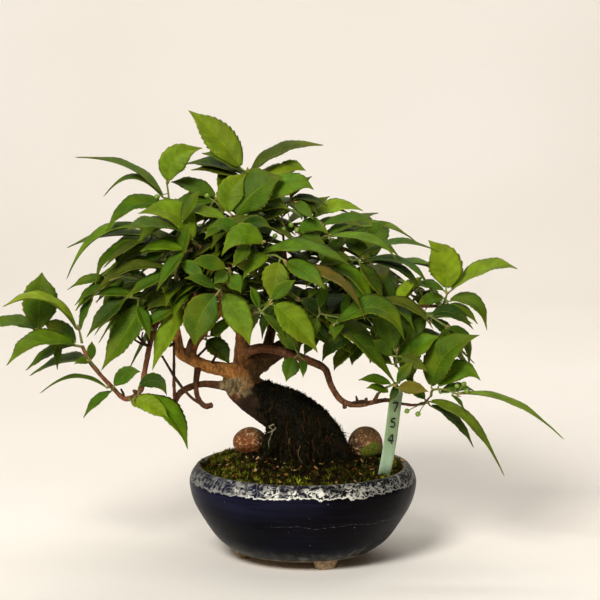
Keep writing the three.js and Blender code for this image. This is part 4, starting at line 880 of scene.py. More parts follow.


# More leaves of the near side: each one's tone, the depth of its foot, and the blade. Their dark and olive
# tones inside and under the crown are partly painted shade, and their bright and light tones are partly
# painted light.
NEAR_LEAVES = [
    ("yellow", -84, 135, 400, 170, 421, 18, 4, 0.5, 153, 406),
    ("dark", -54, 397, 383, 388, 403, 8, 2, 0.35, 394, 393),
    ("yellow", -20, 276, 181, 306, 171, 14, 4, 0.5, 290, 167),
    ("bright", -42, 262, 202, 314, 190, 21, 4, 0.5, 291, 184),
    ("dark", -40, 291, 200, 318, 215, 13, 6, 0.44, 306, 202),
    ("green", -38, 244, 216, 290, 211, 16, 6, 0.44, 268, 203),
    ("olive", -50, 222, 226, 274, 230, 10, 4, 0.34, 248, 221),
    ("bright", -34, 298, 232, 330, 236, 13, 6, 0.44, 314, 225),
    ("green", -30, 298, 246, 326, 246, 12, 8, 0.44, 312, 238),
    ("bright", -40, 326, 264, 373, 317, 13, 12, 0.3, 359, 282),
    ("green", -44, 336, 324, 405, 342, 20, 10, 0.46, 378, 308),
    ("light", -30, 158, 262, 97, 281, 9, 6, 0.24, 126, 262),
    ("olive", -34, 160, 268, 96, 304, 9, 8, 0.24, 122, 274),
    ("green", -26, 164, 252, 104, 262, 7, 4, 0.22, 134, 248),
    ("light", -36, 150, 286, 84, 298, 9, 4, 0.26, 114, 284),
    ("olive", -44, 146, 300, 94, 336, 11, 8, 0.28, 116, 312),
    ("green", -30, 156, 296, 108, 330, 12, 10, 0.3, 128, 306),
    ("bright", -60, 190, 250, 140, 253, 11, 4, 0.3, 164, 244),
    ("light", -46, 206, 214, 160, 214, 9, 4, 0.3, 184, 207),
    ("dark", -30, 282, 300, 262, 340, 13, 8, 0.36, 268, 316),
    ("dark", -26, 300, 300, 330, 330, 14, 8, 0.4, 318, 310),
    ("green", -20, 352, 330, 372, 362, 13, 8, 0.36, 364, 342),
    ("dark", -20, 330, 330, 352, 356, 13, 8, 0.4, 342, 340),
    ("green", -30, 412, 314, 400, 350, 13, 8, 0.36, 404, 330),
    ("yellow", -34, 397, 304, 422, 277, 11, 2, 0.36, 406, 288),
    ("dark", -30, 430, 320, 456, 348, 12, 6, 0.36, 446, 330),
    ("olive", -10, 300, 346, 284, 364, 11, 4, 0.5, 290, 352),
    ("olive", -52, 184, 243, 98, 266, 10, 6, 0.24, 136, 238),
    ("light", -50, 172, 252, 104, 284, 10, 6, 0.26, 134, 254),
    ("olive", -54, 168, 268, 90, 300, 10, 8, 0.24, 124, 270),
    ("light", -56, 150, 282, 78, 318, 9, 8, 0.24, 108, 284),
    ("dark", -48, 176, 284, 128, 332, 12, 8, 0.28, 150, 296),
    ("dark", -14, 304, 322, 330, 350, 15, 6, 0.42, 320, 332),
    ("dark", -8, 334, 322, 324, 356, 14, 6, 0.42, 332, 338),
    ("olive", -16, 286, 328, 300, 352, 12, 4, 0.42, 292, 340),
    ("dark", -18, 354, 336, 322, 362, 16, 6, 0.42, 334, 344),
    ("olive", -14, 358, 344, 334, 371, 14, 6, 0.42, 342, 356),
    ("dark", -10, 368, 340, 352, 366, 15, 6, 0.42, 356, 352),
    ("dark", -12, 384, 346, 370, 364, 13, 6, 0.42, 374, 354),
    ("dark", -6, 320, 334, 304, 356, 13, 6, 0.42, 310, 344),
    ("olive", -14, 300, 356, 305, 373, 8, 4, 0.42, 303, 364),
    ("green", -36, 322, 226, 376, 224, 9, 4, 0.26, 350, 218),
    ("light", -40, 330, 236, 398, 262, 8, 8, 0.22, 372, 240),
    ("dark", -34, 370, 262, 424, 300, 8, 8, 0.22, 404, 272),
    ("olive", -30, 380, 300, 434, 330, 10, 8, 0.26, 410, 306),
]
# The unripe berries near the middle and at the right: column, row and depth
NEAR_BERRIES = [
    (284, 229, -36), (291, 225, -36), (297, 230, -35), (289, 235, -37), (432, 301, -26), (439, 304, -26),
    (275, 236, -40),
]


def carriers():
    """Every point of the thin wood and the year's stems that a leaf's stalk may grow from."""
    rows = [curve_rows(seen_rows(limb)[1:], 40) for limb in LIMBS.values()]
    for one in SHOOTS.values():
        rows += [curve_rows(seen_rows(one[part]), 12) for part in ("stem", "twig") if one[part]]
    return kd_tree(np.vstack(rows))


def add_near_leaves(soup, wood_tree):
    tree = carriers()
    for number, (tone, depth, *row) in enumerate(NEAR_LEAVES):
        blade = leaf(*row)
        for bend in NEAR_BENDS:
            form = leaf_in_view((*blade["from"], depth + bend), blade)
            plain = plain_blade(form)
            if is_clear(plain, wood_tree):
                break
        else:
            continue
        form["tone"] = tone
        PLACED.append(plain)
        add_blade(soup, form)
        add_petiole(soup, form)
        origin = np.array(tree.find(form["root"])[0])
        middle = (origin + form["root"]) / 2 + UP * 0.08 * np.linalg.norm(form["root"] - origin)
        add_stem(soup, [origin, middle, form["root"]], number)
    for number, place in enumerate(NEAR_BERRIES):
        centre = seen(*place)
        add_berry(soup, centre, np.array(tree.find(centre)[0]), 70 + number)


def spur_leaf(foot, out, length, bend, seed, tone):
    out = unit(out + bend * unit(np.cross(out, UP)))
    start = foot + out * 4
    tip = start + out * length - UP * (0.34 + 0.2 * draw(seed, 4)) * length
    middle = (start + tip) / 2 + UP * 0.15 * length
    return blade_form(foot, start, middle, tip, length * 0.17, seed, tone)


def build_inner(materials, wood_tree):
    soup, generator, seed = Soup(), np.random.default_rng(5), 900
    add_near_leaves(soup, wood_tree)
    for name, (first, last, count) in SPUR_LIMBS.items():
        rows = curve_rows(seen_rows(LIMBS[name]), 60)
        for k in range(count):
            origin = rows[int((first + (last - first) * (k + generator.uniform(0.1, 0.9)) / count) * 59)]
            heading = unit([generator.normal(), generator.normal() + 0.2, 0.5 + 0.6 * generator.uniform()])
            end = origin + heading * generator.uniform(12, 26)
            turn, found = generator.uniform(0, 2 * math.pi), []
            for pair, sign in product(range(3), (-1, 1)):
                foot = origin + (end - origin) * (0.45 + 0.27 * pair)
                seed += 1
                angle = turn + 1.5 * pair
                level = np.array([math.cos(angle), math.sin(angle), 0]) * sign + heading * 0.3
                level = unit(level + unit((foot - seen(*CROWN_CENTRE)) * [1, 1, 0]) * 0.5)
                length = generator.uniform(34, 60)
                tone = ("dark", "green", "olive", "green", "light")[seed % 5]
                for bend in (0, 0.35, -0.35, 0.8, -0.8):
                    form = spur_leaf(foot, level, length, bend, seed, tone)
                    blade = plain_blade(form)
                    if inside(CROWN, *pixel_of(form["end"])) and is_clear(blade, wood_tree):
                        PLACED.append(blade)
                        found.append(form)
                        break
            for form in found:
                add_blade(soup, form, fine=False)
                add_petiole(soup, form)
            if found:
                add_stem(soup, [origin, (origin + end) / 2 + UP, end], seed)
    put(soup.object("inner_leaves", materials))


def build_shoots(materials):
    for number, (name, one) in enumerate(SHOOTS.items()):
        stem = one["stem"]
        choices = [[leaf_in_view(stem_point_by(stem, leaf["from"]), leaf, bend) for bend in BENDS]
                   for leaf in one["leaves"]]
        berries = [(seen(*place), seen(*stem_point_by(stem, place))) for place in one["berries"]]
        build_shoot("shoot_" + name, choices, seen_rows(stem), berries, number, materials)
    for number, (limb, at) in enumerate(FAR_SHOOTS):
        one = far_shoot(number, limb, at)
        choices = zip(*(far_leaves(one, bend) for bend in BENDS))
        stem = [one["seat"], one["end"]]
        build_shoot(f"shoot_far_{number + 1}", choices, stem, [], 100 + number, materials)


# The wood. Each limb is a row of points: column, row, depth and radius.

TRUNK = [
    (309, 484, 0, 40), (307, 462, 0, 35.5), (303, 438, 0, 29.3), (289, 417, 0, 20.5), (267, 404, 0, 16.4),
    (250, 393, 2, 14.5), (239, 380, 3, 13), (242, 366, 3, 10),
]
ROOTS = [
    [(280, 424, -8, 9), (272, 446, -17, 7), (257, 470, -26, 3)],
    [(300, 424, -16, 10), (301, 450, -32, 7), (304, 474, -44, 3)],
    [(322, 424, -8, 9), (338, 448, -18, 7), (352, 470, -27, 3)],
    [(322, 425, 10, 9), (332, 442, 28, 6.5), (340, 460, 42, 3)],
    [(300, 425, 14, 10), (298, 442, 34, 6.5), (296, 458, 50, 3)],
    [(284, 425, 10, 9), (274, 442, 28, 6), (266, 458, 42, 3)],
]
LIMBS = {
    "right": [(243, 384, 2, 9), (249, 372, 3, 9.2), (258, 362, 5, 9.2), (270, 355, 9, 8.4),
              (284, 347, 14, 6.8), (302, 336, 18, 5.4), (320, 318, 22, 4.4), (336, 300, 24, 3.4),
              (352, 284, 22, 2.6)],
    "upright": [(241, 380, 0, 8), (241, 352, -2, 5.6), (242, 330, -4, 5), (238, 304, -6, 4.4),
                (230, 282, -8, 3.8), (229, 256, -8, 3.2), (237, 228, -10, 2.5), (244, 204, -8, 1.9)],
    "left": [(240, 377, -2, 9), (225, 370, -6, 6), (206, 366, -10, 5.2), (191, 359, -14, 5),
             (180, 352, -16, 4.8), (177, 338, -18, 4.2), (174, 322, -20, 3.2), (166, 309, -25, 2.4),
             (152, 300, -32, 1.8)],
    "rising": [(190, 360, -13, 4.6), (193, 344, -12, 4.8), (203, 330, -11, 4.6), (213, 318, -10, 4.5),
               (222, 306, -10, 3.9), (222, 286, -16, 3), (207, 266, -24, 2.4), (193, 250, -30, 1.9)],
    "low": [(234, 386, -5, 6), (218, 385, -11, 3.4), (202, 384, -16, 2.8), (188, 388, -20, 2.8),
            (179, 394, -22, 2.7), (175, 403, -24, 2.3), (176, 411, -26, 1.4)],
    "lowTwig": [(175, 404, -24, 1.6), (174, 385, -27, 1.3), (174, 345, -27, 1)],
    "knobby": [(198, 365, -12, 3), (196, 386, -22, 2.1), (198, 398, -26, 2), (205, 406, -28, 2.2),
               (212, 405, -30, 2.2)],
    "crossing": [(206, 407, -28, 1.3), (192, 398, -31, 1.2), (178, 382, -33, 1.2), (162, 356, -36, 0.9)],
    "forward": [(246, 352, -4, 4.6), (262, 348, -9, 3.9), (290, 354, -17, 3.6), (312, 362, -22, 3.4),
                (325, 369, -26, 3), (331, 385, -30, 2.6), (342, 401, -34, 2.6), (357, 405, -36, 2.4),
                (374, 402, -36, 2.1), (388, 400, -33, 1.9), (403, 404, -32, 1.5), (422, 404, -34, 1.3),
                (431, 396, -36, 1.1)],
    "cascade": [(166, 308, -25, 2.3), (158, 320, -34, 2.2), (150, 345, -42, 2.1), (145, 370, -48, 2),
                (140, 391, -54, 2.1), (126, 399, -58, 2), (112, 387, -60, 1.8), (90, 362, -62, 1.6),
                (82, 346, -62, 1.4)],
    "inner": [(222, 291, -12, 3), (206, 296, -20, 2.7), (190, 293, -30, 2.4), (180, 290, -36, 2.3),
              (168, 288, -42, 2.1)],
    "farRight": [(318, 320, 22, 3.6), (345, 312, 14, 2.8), (372, 306, 4, 2.2), (392, 305, -8, 1.7),
                 (420, 306, -14, 1.5), (440, 306, -16, 1.3)],
    "rightLow": [(372, 306, 4, 2.2), (386, 330, -14, 1.8), (393, 350, -28, 1.5), (396, 366, -34, 1.2)],
    "back": [(262, 368, 8, 6), (268, 345, 26, 4.6), (274, 318, 44, 3.6), (280, 292, 58, 2.8),
             (286, 266, 64, 2)],
    "backLeft": [(240, 330, 0, 4), (222, 312, 22, 3.2), (204, 292, 42, 2.6), (188, 272, 58, 2)],
    "backRight": [(300, 340, 20, 4), (322, 320, 44, 3.2), (344, 300, 60, 2.6), (362, 282, 70, 2)],
}
STUBS = [
    [(186, 356, -16, 2.4), (189, 347, -24, 2), (190, 342, -28, 1.8)],
    [(344, 402, -34, 1.8), (345, 408, -37, 1.5)],
    [(366, 403, -37, 1.7), (366, 399, -42, 1.4)],
    [(300, 339, 16, 2.6), (305, 326, 6, 2)],
    [(139, 394, -54, 1.8), (134, 391, -59, 1.5)],
]
TWIGS = [
    [(150, 347, -43, 1.3), (148, 336, -45, 1.1), (150, 326, -46, 0.9), (152, 317, -46, 0.6)],
    [(148, 333, -45, 0.9), (147, 327, -46, 0.7), (145, 321, -46, 0.6)],
    [(150, 328, -46, 0.9), (154, 324, -47, 0.7), (159, 320, -47, 0.6)],
    [(149, 347, -43, 1.2), (143, 342, -46, 1.0), (137, 335, -47, 0.8)],
    [(148, 346, -43, 1.1), (140, 343, -45, 0.9), (132, 338, -46, 0.6)],
    [(143, 341, -46, 0.7), (142, 336, -47, 0.6), (143, 332, -47, 0.5)],
    [(212, 363, -11, 1.3), (215, 357, -16, 1.0), (217, 352, -17, 0.9)],
    [(197, 357, -12, 1.3), (203, 351, -17, 1.1), (209, 345, -18, 0.9)],
    [(178, 341, -17, 1.6), (173, 344, -21, 1.4), (169, 346, -22, 1.2)],
    [(356, 405, -36, 1.3), (357, 400, -38, 1.0), (356, 396, -38, 0.6)],
    [(350, 404, -35, 1.6), (358, 402, -38, 1.5), (366, 401, -38, 1.1)],
    [(124, 398, -58, 1.2), (123, 393, -60, 1.0), (121, 389, -61, 0.7)],
]
FUSED = ("right", "upright", "left", "rising", "forward", "back", "low")
NODE_GAP = 13
DARKEST = 0.004

BARK = {
    "trunk": linear(40, 28, 16), "right": linear(80, 58, 32), "upright": linear(134, 88, 48),
    "left": linear(186, 126, 66), "rising": linear(146, 88, 52), "forward": linear(116, 76, 50),
    "low": linear(98, 62, 40), "lowTwig": linear(96, 56, 36), "knobby": linear(92, 58, 36),
    "crossing": linear(78, 56, 36), "cascade": linear(130, 82, 56), "inner": linear(176, 128, 96),
    "twig": linear(124, 88, 52), "knot": linear(58, 38, 26),
}
BARK_PLAIN = linear(104, 74, 46)
COLLAR = linear(160, 138, 98)
MOSS_DARK = linear(15, 14, 7)
VOXEL = 0.9
THICK = 2.5


def limb_rows(points, count):
    places = np.linspace(0, len(points) - 1, count)
    return curve_rows(seen_rows(points), count), np.interp(places, range(len(points)), [p[3] for p in points])


def limb_length(points):
    return float(np.sum(np.linalg.norm(np.diff(seen_rows(points), axis=0), axis=1)))


def root_flare(angle, share):
    return (1 + 0.1 * (1 - share) ** 2 * math.cos(5 * angle + 0.6) + 0.04 * math.sin(3 * angle + 9 * share)
            + 0.03 * math.sin(9 * angle + 14 * share) * (1 - share))


def fused_wood():
    """The thick wood as one skin: its limbs' tubes, remeshed together."""
    soup = Soup()
    soup.add(*tube(*limb_rows(TRUNK, 40), 48, root_flare, 0.1))
    for points in ROOTS:
        soup.add(*tube(*limb_rows(points, 16), 16))
    for name in FUSED:
        soup.add(*tube(*limb_rows(LIMBS[name], int(limb_length(LIMBS[name]) / 2.5)), 16))
    rough = soup.object("rough_wood", [])
    remesh = rough.modifiers.new("skin", "REMESH")
    remesh.mode = "VOXEL"
    remesh.voxel_size = VOXEL * MM
    evaluated = rough.evaluated_get(bpy.context.evaluated_depsgraph_get())
    mesh = evaluated.to_mesh()
    points = np.zeros(len(mesh.vertices) * 3)
    mesh.vertices.foreach_get("co", points)
    faces = [tuple(p.vertices) for p in mesh.polygons]
    evaluated.to_mesh_clear()
    data = rough.data
    bpy.data.objects.remove(rough)
    bpy.data.meshes.remove(data)
    return (points.reshape(-1, 3) - AXIS) / MM, faces


def four_corners(faces):
    """Every face as four corners, a triangle with its last one twice."""
    return np.array([f if len(f) == 4 else (*f, f[-1]) for f in faces])


def edges_of(faces):
    corners = four_corners(faces)
    pairs = np.vstack([corners[:, [k, (k + 1) % 4]] for k in range(4)])
    return np.unique(np.sort(pairs[pairs[:, 0] != pairs[:, 1]], axis=1), axis=0)


def relaxed(points, edges, rounds, share=0.5):
    """The points, each moved part of the way to the middle of its neighbours, so many times."""
    count = np.maximum(np.bincount(edges.ravel(), minlength=len(points)), 1)[:, None]
    a, b = edges.T
    for _ in range(rounds):
        total = np.zeros_like(points)
        for k in range(3):
            total[:, k] = np.bincount(a, points[b, k], len(points))
            total[:, k] += np.bincount(b, points[a, k], len(points))
        points = points + share * (total / count - points)
    return points


def normals_of(points, faces):
    corners = four_corners(faces)
    p = points[corners]
    normal = np.cross(p[:, 2] - p[:, 0], p[:, 3] - p[:, 1])
    total = np.zeros_like(points)
    for c, k in product(range(4), range(3)):
        total[:, k] += np.bincount(corners[:, c], normal[:, k], len(points))
    return unit(total)


def limb_guide():
    """Points along every thick limb, each with its tone, its radius and its limb's name."""
    facts = []
    for name, points in [("trunk", p) for p in (TRUNK, *ROOTS)] + [(n, LIMBS[n]) for n in FUSED]:
        rows, radii = limb_rows(points, 50 if points is TRUNK else 36)
        facts += [(row, radius, BARK.get(name, BARK_PLAIN), name) for row, radius in zip(rows, radii)]
    return kd_tree([fact[0] for fact in facts]), facts


def moss_share(point, normal, on_trunk):
    """How mossy the wood is at a point: the trunk right of its bare neck, first on its upper side."""
    column, row = pixel_of(point)
    start = 262 - 14 * normal[2] + 9 * fbm(point, 7.0)
    return float(smooth(start - 7, start + 7, column)) if on_trunk and row > 376 else 0.0


def collar_share(point):
    """The pale, bare ring under the limbs, with its torn lower edge, darkened towards its right by painted
    shade.
    """
    column, row = pixel_of(point)
    torn = 5 * fbm(point, 4.0)
    # shade is painted shade: the ring darkens towards the trunk's right side, away from the light.
    shade = 1 - 0.6 * float(smooth(236, 250, column))
    return shade * float(smooth(253, 249, column + torn) * smooth(217, 222, column)
                         * smooth(376.5, 379, row + 0.12 * (column - 236)) * smooth(396, 392, row + torn))


def build_wood(materials):
    points, faces = fused_wood()
    points = relaxed(points, edges_of(faces), 5)
    normal = normals_of(points, faces)
    tree, facts = limb_guide()
    tones, moss, shifts = np.zeros((len(points), 3)), np.zeros(len(points)), np.zeros(len(points))
    for i, point in enumerate(points):
        near = tree.find_n(point, 4)
        weights = np.array([1 / (max(d - 0.8 * facts[k][1], 0.2) ** 2) for _, k, d in near])
        weights /= weights.sum()
        near = [(w, *facts[k][1:]) for w, (_, k, _) in zip(weights, near)]
        on_trunk = sum(w for w, _, _, name in near if name == "trunk") > 0.5
        radius = sum(w * r for w, r, _, _ in near)
        tone = sum(w * t for w, _, t, _ in near)
        moss[i] = moss_share(point, normal[i], on_trunk)
        coarse = fbm(point, 2.2 * max(radius, 3), 2)
        fine = fbm(point + 31, 3.4, 3)
        shifts[i] = (0.045 * min(radius, 16) * coarse + (0.3 if radius > 5 else 0.16) * fine
                     + 1.5 * moss[i] * abs(fbm(point, 3.4, 2)))
        patch = fbm(point + 77, 7.0, 3)
        collar = collar_share(point)
        split = smooth(0.08, 0.3, fbm(point * np.array([1, 1, 0.3]) + 11, 1.7, 2)) * collar
        tone = (tone + (COLLAR - tone) * collar) * (1 - 0.6 * float(split))
        tone = tone * (1 + (0.5 if on_trunk else 0.26) * patch + 0.22 * fine)
        tones[i] = tone * (1 - moss[i]) + MOSS_DARK * (1 + 0.8 * fbm(point, 3.0, 2)) * moss[i]
    points = points + normal * shifts[:, None]
    soup = Soup()
    soup.add(points, faces, np.clip(tones, DARKEST, 1), moss)
    for name, limb in LIMBS.items():
        if name not in FUSED:
            add_thin_limb(soup, limb, BARK.get(name, BARK_PLAIN), 12 if limb[0][3] > THICK else 8)
    carried = [one["twig"] for one in SHOOTS.values() if one["twig"]]
    for limbs, tone, sides in ((STUBS, BARK_PLAIN, 8), (TWIGS, BARK["knot"], 6), (carried, BARK["twig"], 8)):
        for limb in limbs:
            add_thin_limb(soup, limb, tone, sides)
    for number, (limb, at) in enumerate(FAR_SHOOTS):
        one = far_shoot(number, limb, at)
        rows = one["origin"] + np.linspace(0, 1, 24)[:, None] * (one["seat"] - one["origin"])
        soup.add(*tube(rows, np.linspace(1.9, 1.3, 24), 8), BARK["twig"])
    put(soup.object("trunk_fine", materials), "trunk")
    return points, normal, faces, moss


def add_thin_limb(soup, points, tone, sides):
    """A thin limb or twig with swollen nodes and a little wander in its thickness."""
    length = limb_length(points)
    count = max(8, int(length / 1.5))
    rows, radii = limb_rows(points, count)
    shares = np.linspace(0, 1, count)
    nodes = np.cos(2 * math.pi * (shares * length / NODE_GAP + draw(points[0][0] + points[-1][1], 1)))
    radii = radii * (1 + 0.16 * np.maximum(nodes, 0) ** 6 + 0.07 * fbm_rows(rows, 5.0, 2))
    rows = rows + 0.12 * radii[:, None] * np.array([[fbm(r, 9.0, 2), fbm(r + 50, 9.0, 2), 0] for r in rows])
    body, faces = tube(rows, radii, sides)
    soup.add(body, faces, np.clip(tone * (1 + 0.3 * fbm_rows(body, 5.0, 2))[:, None], DARKEST, 1))


# Moss and the fine roots on the trunk: each rootlet's pixels, its radius and its colour

ROOTLETS = [
    ([(303, 411), (304, 420), (303, 428), (305, 434)], 0.55, (54, 32, 17)),
    ([(288, 418), (287, 428), (289, 440)], 0.5, (52, 34, 20)),
    ([(291, 438), (290, 448), (292, 458), (290, 466)], 0.8, (76, 56, 36)),
    ([(312, 440), (314, 450), (312, 462)], 0.6, (50, 32, 20)),
    ([(326, 436), (330, 446), (332, 458)], 0.6, (52, 32, 20)),
    ([(282, 440), (280, 450), (281, 460)], 0.5, (46, 32, 20)),
    ([(318, 418), (320, 430), (319, 438)], 0.5, (44, 30, 18)),
    ([(275, 424), (270, 427), (273, 431), (269, 433)], 0.6, (132, 124, 98)),
    ([(276, 428), (272, 434), (270, 441), (269, 447)], 0.55, (120, 112, 88)),
    ([(300, 446), (299, 455), (302, 464)], 0.5, (96, 70, 46)),
]


DARK_MOSS = [linear(*c) for c in ((6, 7, 3), (9, 9, 4), (14, 14, 5), (27, 29, 8), (22, 14, 8))]
MOSS_TONES = [linear(*c) for c in ((22, 22, 7), (36, 35, 9), (48, 50, 11), (64, 68, 15), (58, 38, 18))]
YOUNG_MOSS = [linear(*c) for c in ((82, 88, 18), (112, 114, 28), (70, 76, 16), (54, 58, 13))]
STRAND_TONES = [linear(*c) for c in ((52, 29, 17), (42, 28, 17), (70, 54, 34))]
TRUNK_TUFTS = 9000
TRUNK_STRANDS = 2600
SOIL_TUFTS = 10500
# Heights: the tufts on the trunk start above the first, and the strands end below the second
MOSS_FROM, STRANDS_TO = 78, 132
# The moss on the soil reaches the first radius, and beyond the second it lies on the rim
MOSS_REACH, MOSS_ON_RIM = 82.6, 80.6


def add_spike(soup, foot, direction, length, radius, tone, turn):
    """One closed three-sided leaflet of moss."""
    aside = unit(np.cross(direction, [math.cos(turn), math.sin(turn), 0.3]))
    third = np.cross(direction, aside)
    ring = [foot + radius * (math.cos(a) * aside + math.sin(a) * third) for a in (0, 2.094, 4.189)]
    soup.add([*ring, foot + direction * length], [(0, 2, 1), (0, 1, 3), (1, 2, 3), (2, 0, 3)], tone)


def moss_tuft(soup, foot, normal, generator, size, tone, count=2, slim=0.24):
    for _ in range(count):
        lean = unit(normal + 0.55 * generator.normal(size=3))
        add_spike(soup, foot - normal * 0.5, lean, size * generator.uniform(0.6, 1.5),
                  slim * size * generator.uniform(0.7, 1.4), tone * generator.uniform(0.7, 1.4),
                  generator.uniform(0, 6.28))


def add_strand(soup, foot, normal, generator, tone):
    """A blade of moss or a rootlet that lies along steep wood, its tip a little off it."""
    down = unit(-UP + normal * normal[2])
    way = generator.choice([-1, 1], p=[0.35, 0.65])
    lean = unit(down * way + 0.28 * generator.normal(size=3) + normal * 0.22)
    add_spike(soup, foot + normal * 0.1, lean, generator.uniform(3.5, 9), generator.uniform(0.22, 0.5), tone,
              generator.uniform(0, 6.28))


def build_trunk_moss(points, normals, faces, moss, materials):
    generator, soup = np.random.default_rng(11), Soup()
    mossy = np.flatnonzero((moss > 0.3) & (points[:, 2] > MOSS_FROM))
    for i in generator.choice(mossy, TRUNK_TUFTS, replace=False):
        clump = fbm(points[i], 5.0, 2)
        tone = DARK_MOSS[generator.integers(len(DARK_MOSS))] * (1 + 1.6 * max(clump, -0.5))
        moss_tuft(soup, points[i], normals[i], generator, 1.7 + 1.2 * max(clump, 0), tone)
    steep = mossy[(points[mossy, 2] < STRANDS_TO) & (np.abs(normals[mossy, 2]) < 0.55)]
    for i in generator.choice(steep, TRUNK_STRANDS, replace=False):
        tones = STRAND_TONES if generator.uniform() < 0.08 else DARK_MOSS
        tone = tones[generator.integers(len(tones))] * generator.uniform(0.7, 2.0)
        add_strand(soup, points[i], normals[i], generator, tone)
    tree = BVHTree.FromPolygons([tuple(p) for p in points], faces)
    for path, radius, tone in ROOTLETS:
        rows = []
        for column, row, _ in curve_rows([(c, r, 0) for c, r in path], 12):
            hit, normal, _, _ = tree.ray_cast(Vector(EYE), Vector(unit(seen(column, row) - EYE)))
            if hit is not None:
                rows.append(np.array(hit) + np.array(normal) * (radius + 0.5))
        soup.add(*tube(curve_rows(rows, 30), radius * np.linspace(1.1, 0.6, 30), 6), linear(*tone))
    put(soup.object("trunk_moss", materials, shade_smooth=False))


# The pot and what it holds

POT_OUTLINE = [(57, 7.8), (69, 16.5), (79.5, 31), (88, 46), (91.5, 60), (90, 68), (86.5, 73.5)]
POT_WALL = 6.5
POT_FLOOR = POT_OUTLINE[0][1] + POT_WALL
RIM = POT_OUTLINE[-1]
FOOT_RING_RADIUS = 48
FOOT_ANGLES = [-69, -174, 54]
SOIL_OUTLINE = [(80.2, 72.5), (73, 77.5), (52, 81.5), (26, 84), (0, 85)]
# The lip over the rim: how far in and how far up each point of it lies
LIP = [(0.55, 0.75), (1.4, 1.2), (2.6, 1.35), (4.0, 1.15), (5.2, 0.6), (6.1, -0.4)]
DRAIN_RADIUS = 9
GAP = 0.3


def pot_side(count):
    """The pot's swelling side as the solid has it: a uniform Catmull-Rom through its outline."""
    points = np.array(POT_OUTLINE, float)
    last = len(points) - 1
    rows = []
    for place in last * np.linspace(0, 1, count):
        i = min(int(place), last - 1)
        p0, p1, p2, p3 = points[[max(i - 1, 0), i, i + 1, min(i + 2, last)]]
        rows.append(bent(p1, p2, (p2 - p0) / 2, (p3 - p1) / 2, place - i))
    return np.array(rows)


def turned(profile, sides, wobble):
    """A closed body turned about the axis from a closed profile, not quite round."""
    points, faces = [], []
    for radius, height in profile:
        for k in range(sides):
            angle = 2 * math.pi * k / sides
            shift = 1 + wobble * fbm((3 * math.cos(angle), 3 * math.sin(angle), height / 30), 1.0, 2)
            points.append((radius * shift * math.cos(angle), radius * shift * math.sin(angle), height))
    for r, k in product(range(len(profile)), range(sides)):
        a, b, k1 = r * sides, (r + 1) % len(profile) * sides, (k + 1) % sides
        faces.append((a + k, a + k1, b + k1, b + k))
    return np.array(points), faces


def foot_body(angle):
    """One of the pot's three cloud feet: wide and rounded under the wall, drawn in at the ground."""
    rings, sides, tall, lean = 14, 40, 11.0, 1.5
    points = []
    for i in range(rings):
        share = i / (rings - 1)
        wide = 7.4 + 5.2 * share ** 1.7 + 0.9 * math.sin(math.pi * min(1, share * 2.2)) * 0.4
        deep = 5.4 + 3.2 * share ** 1.5
        drawn = 1 - 0.1 * max(0, 1 - i / 1.5)
        for k in range(sides):
            turn = 2 * math.pi * k / sides
            c, s = math.cos(turn), math.sin(turn)
            x = wide * drawn * math.copysign(abs(c) ** 0.55, c)
            y = deep * drawn * math.copysign(abs(s) ** 0.6, s)
            lobe = 1 + 0.05 * math.cos(2 * turn) * (1 - share)
            points.append((x * lobe, y - FOOT_RING_RADIUS - lean * share, tall * i / (rings - 1)))
    points += [(0, -FOOT_RING_RADIUS, 0), (0, -FOOT_RING_RADIUS - lean, tall)]
    a = math.radians(angle + 90)
    spin = np.array([[math.cos(a), math.sin(a), 0], [-math.sin(a), math.cos(a), 0], [0, 0, 1]])
    return np.array(points) @ spin, ring_faces(rings, sides)


def build_pot(materials):
    soup = Soup()
    outer = pot_side(46)
    bottom = outer[0][1]
    lip = [(RIM[0] - inward, RIM[1] + up) for inward, up in LIP]
    inner = [(r - POT_WALL, max(z, POT_FLOOR)) for r, z in pot_side(20)[-2::-1]]
    under = [(DRAIN_RADIUS, bottom), (30, bottom), (50, bottom - 0.2), (55.6, bottom - 0.1)]
    soup.add(*turned([*under, *outer, *lip, *inner, (DRAIN_RADIUS, POT_FLOOR)], 144, 0.0035))
    for angle in FOOT_ANGLES:
        soup.add(*foot_body(angle))
    put(soup.object("pot_fine", materials), "pot")


def soil_height(radius):
    radii, heights = zip(*SOIL_OUTLINE[::-1])
    return float(np.interp(radius, radii, heights))


def soil_lift(x, y):
    lumps = 1.6 * fbm((x, y, 5), 13.0, 3) + 1.5 * fbm((x, y, 9), 5.0, 2)
    return lumps * float(smooth(81, 72, math.hypot(x, y))) + 0.2


def build_soil(materials):
    soup, sides, points = Soup(), 120, []
    wall = [(r - (POT_WALL + GAP), max(z, POT_FLOOR + GAP)) for r, z in pot_side(14)[:-1]]
    rings = wall + [(radius, None) for radius in np.linspace(SOIL_OUTLINE[0][0], 1.2, 56)]
    for (radius, height), k in product(rings, range(sides)):
        a = 2 * math.pi * k / sides
        x, y = radius * math.cos(a), radius * math.sin(a)
        points.append((x, y, height if height is not None else soil_height(radius) + soil_lift(x, y)))
    points += [(0, 0, POT_FLOOR + GAP), (0, 0, soil_height(0) + soil_lift(0, 0))]
    soup.add(points, ring_faces(len(rings), sides))
    put(soup.object("soil_fine", materials), "soil")


CHIPS = [linear(*c) for c in ((124, 72, 34), (152, 112, 62), (92, 54, 30), (166, 140, 96), (72, 44, 26))]
CHIP_SHARE = 0.035


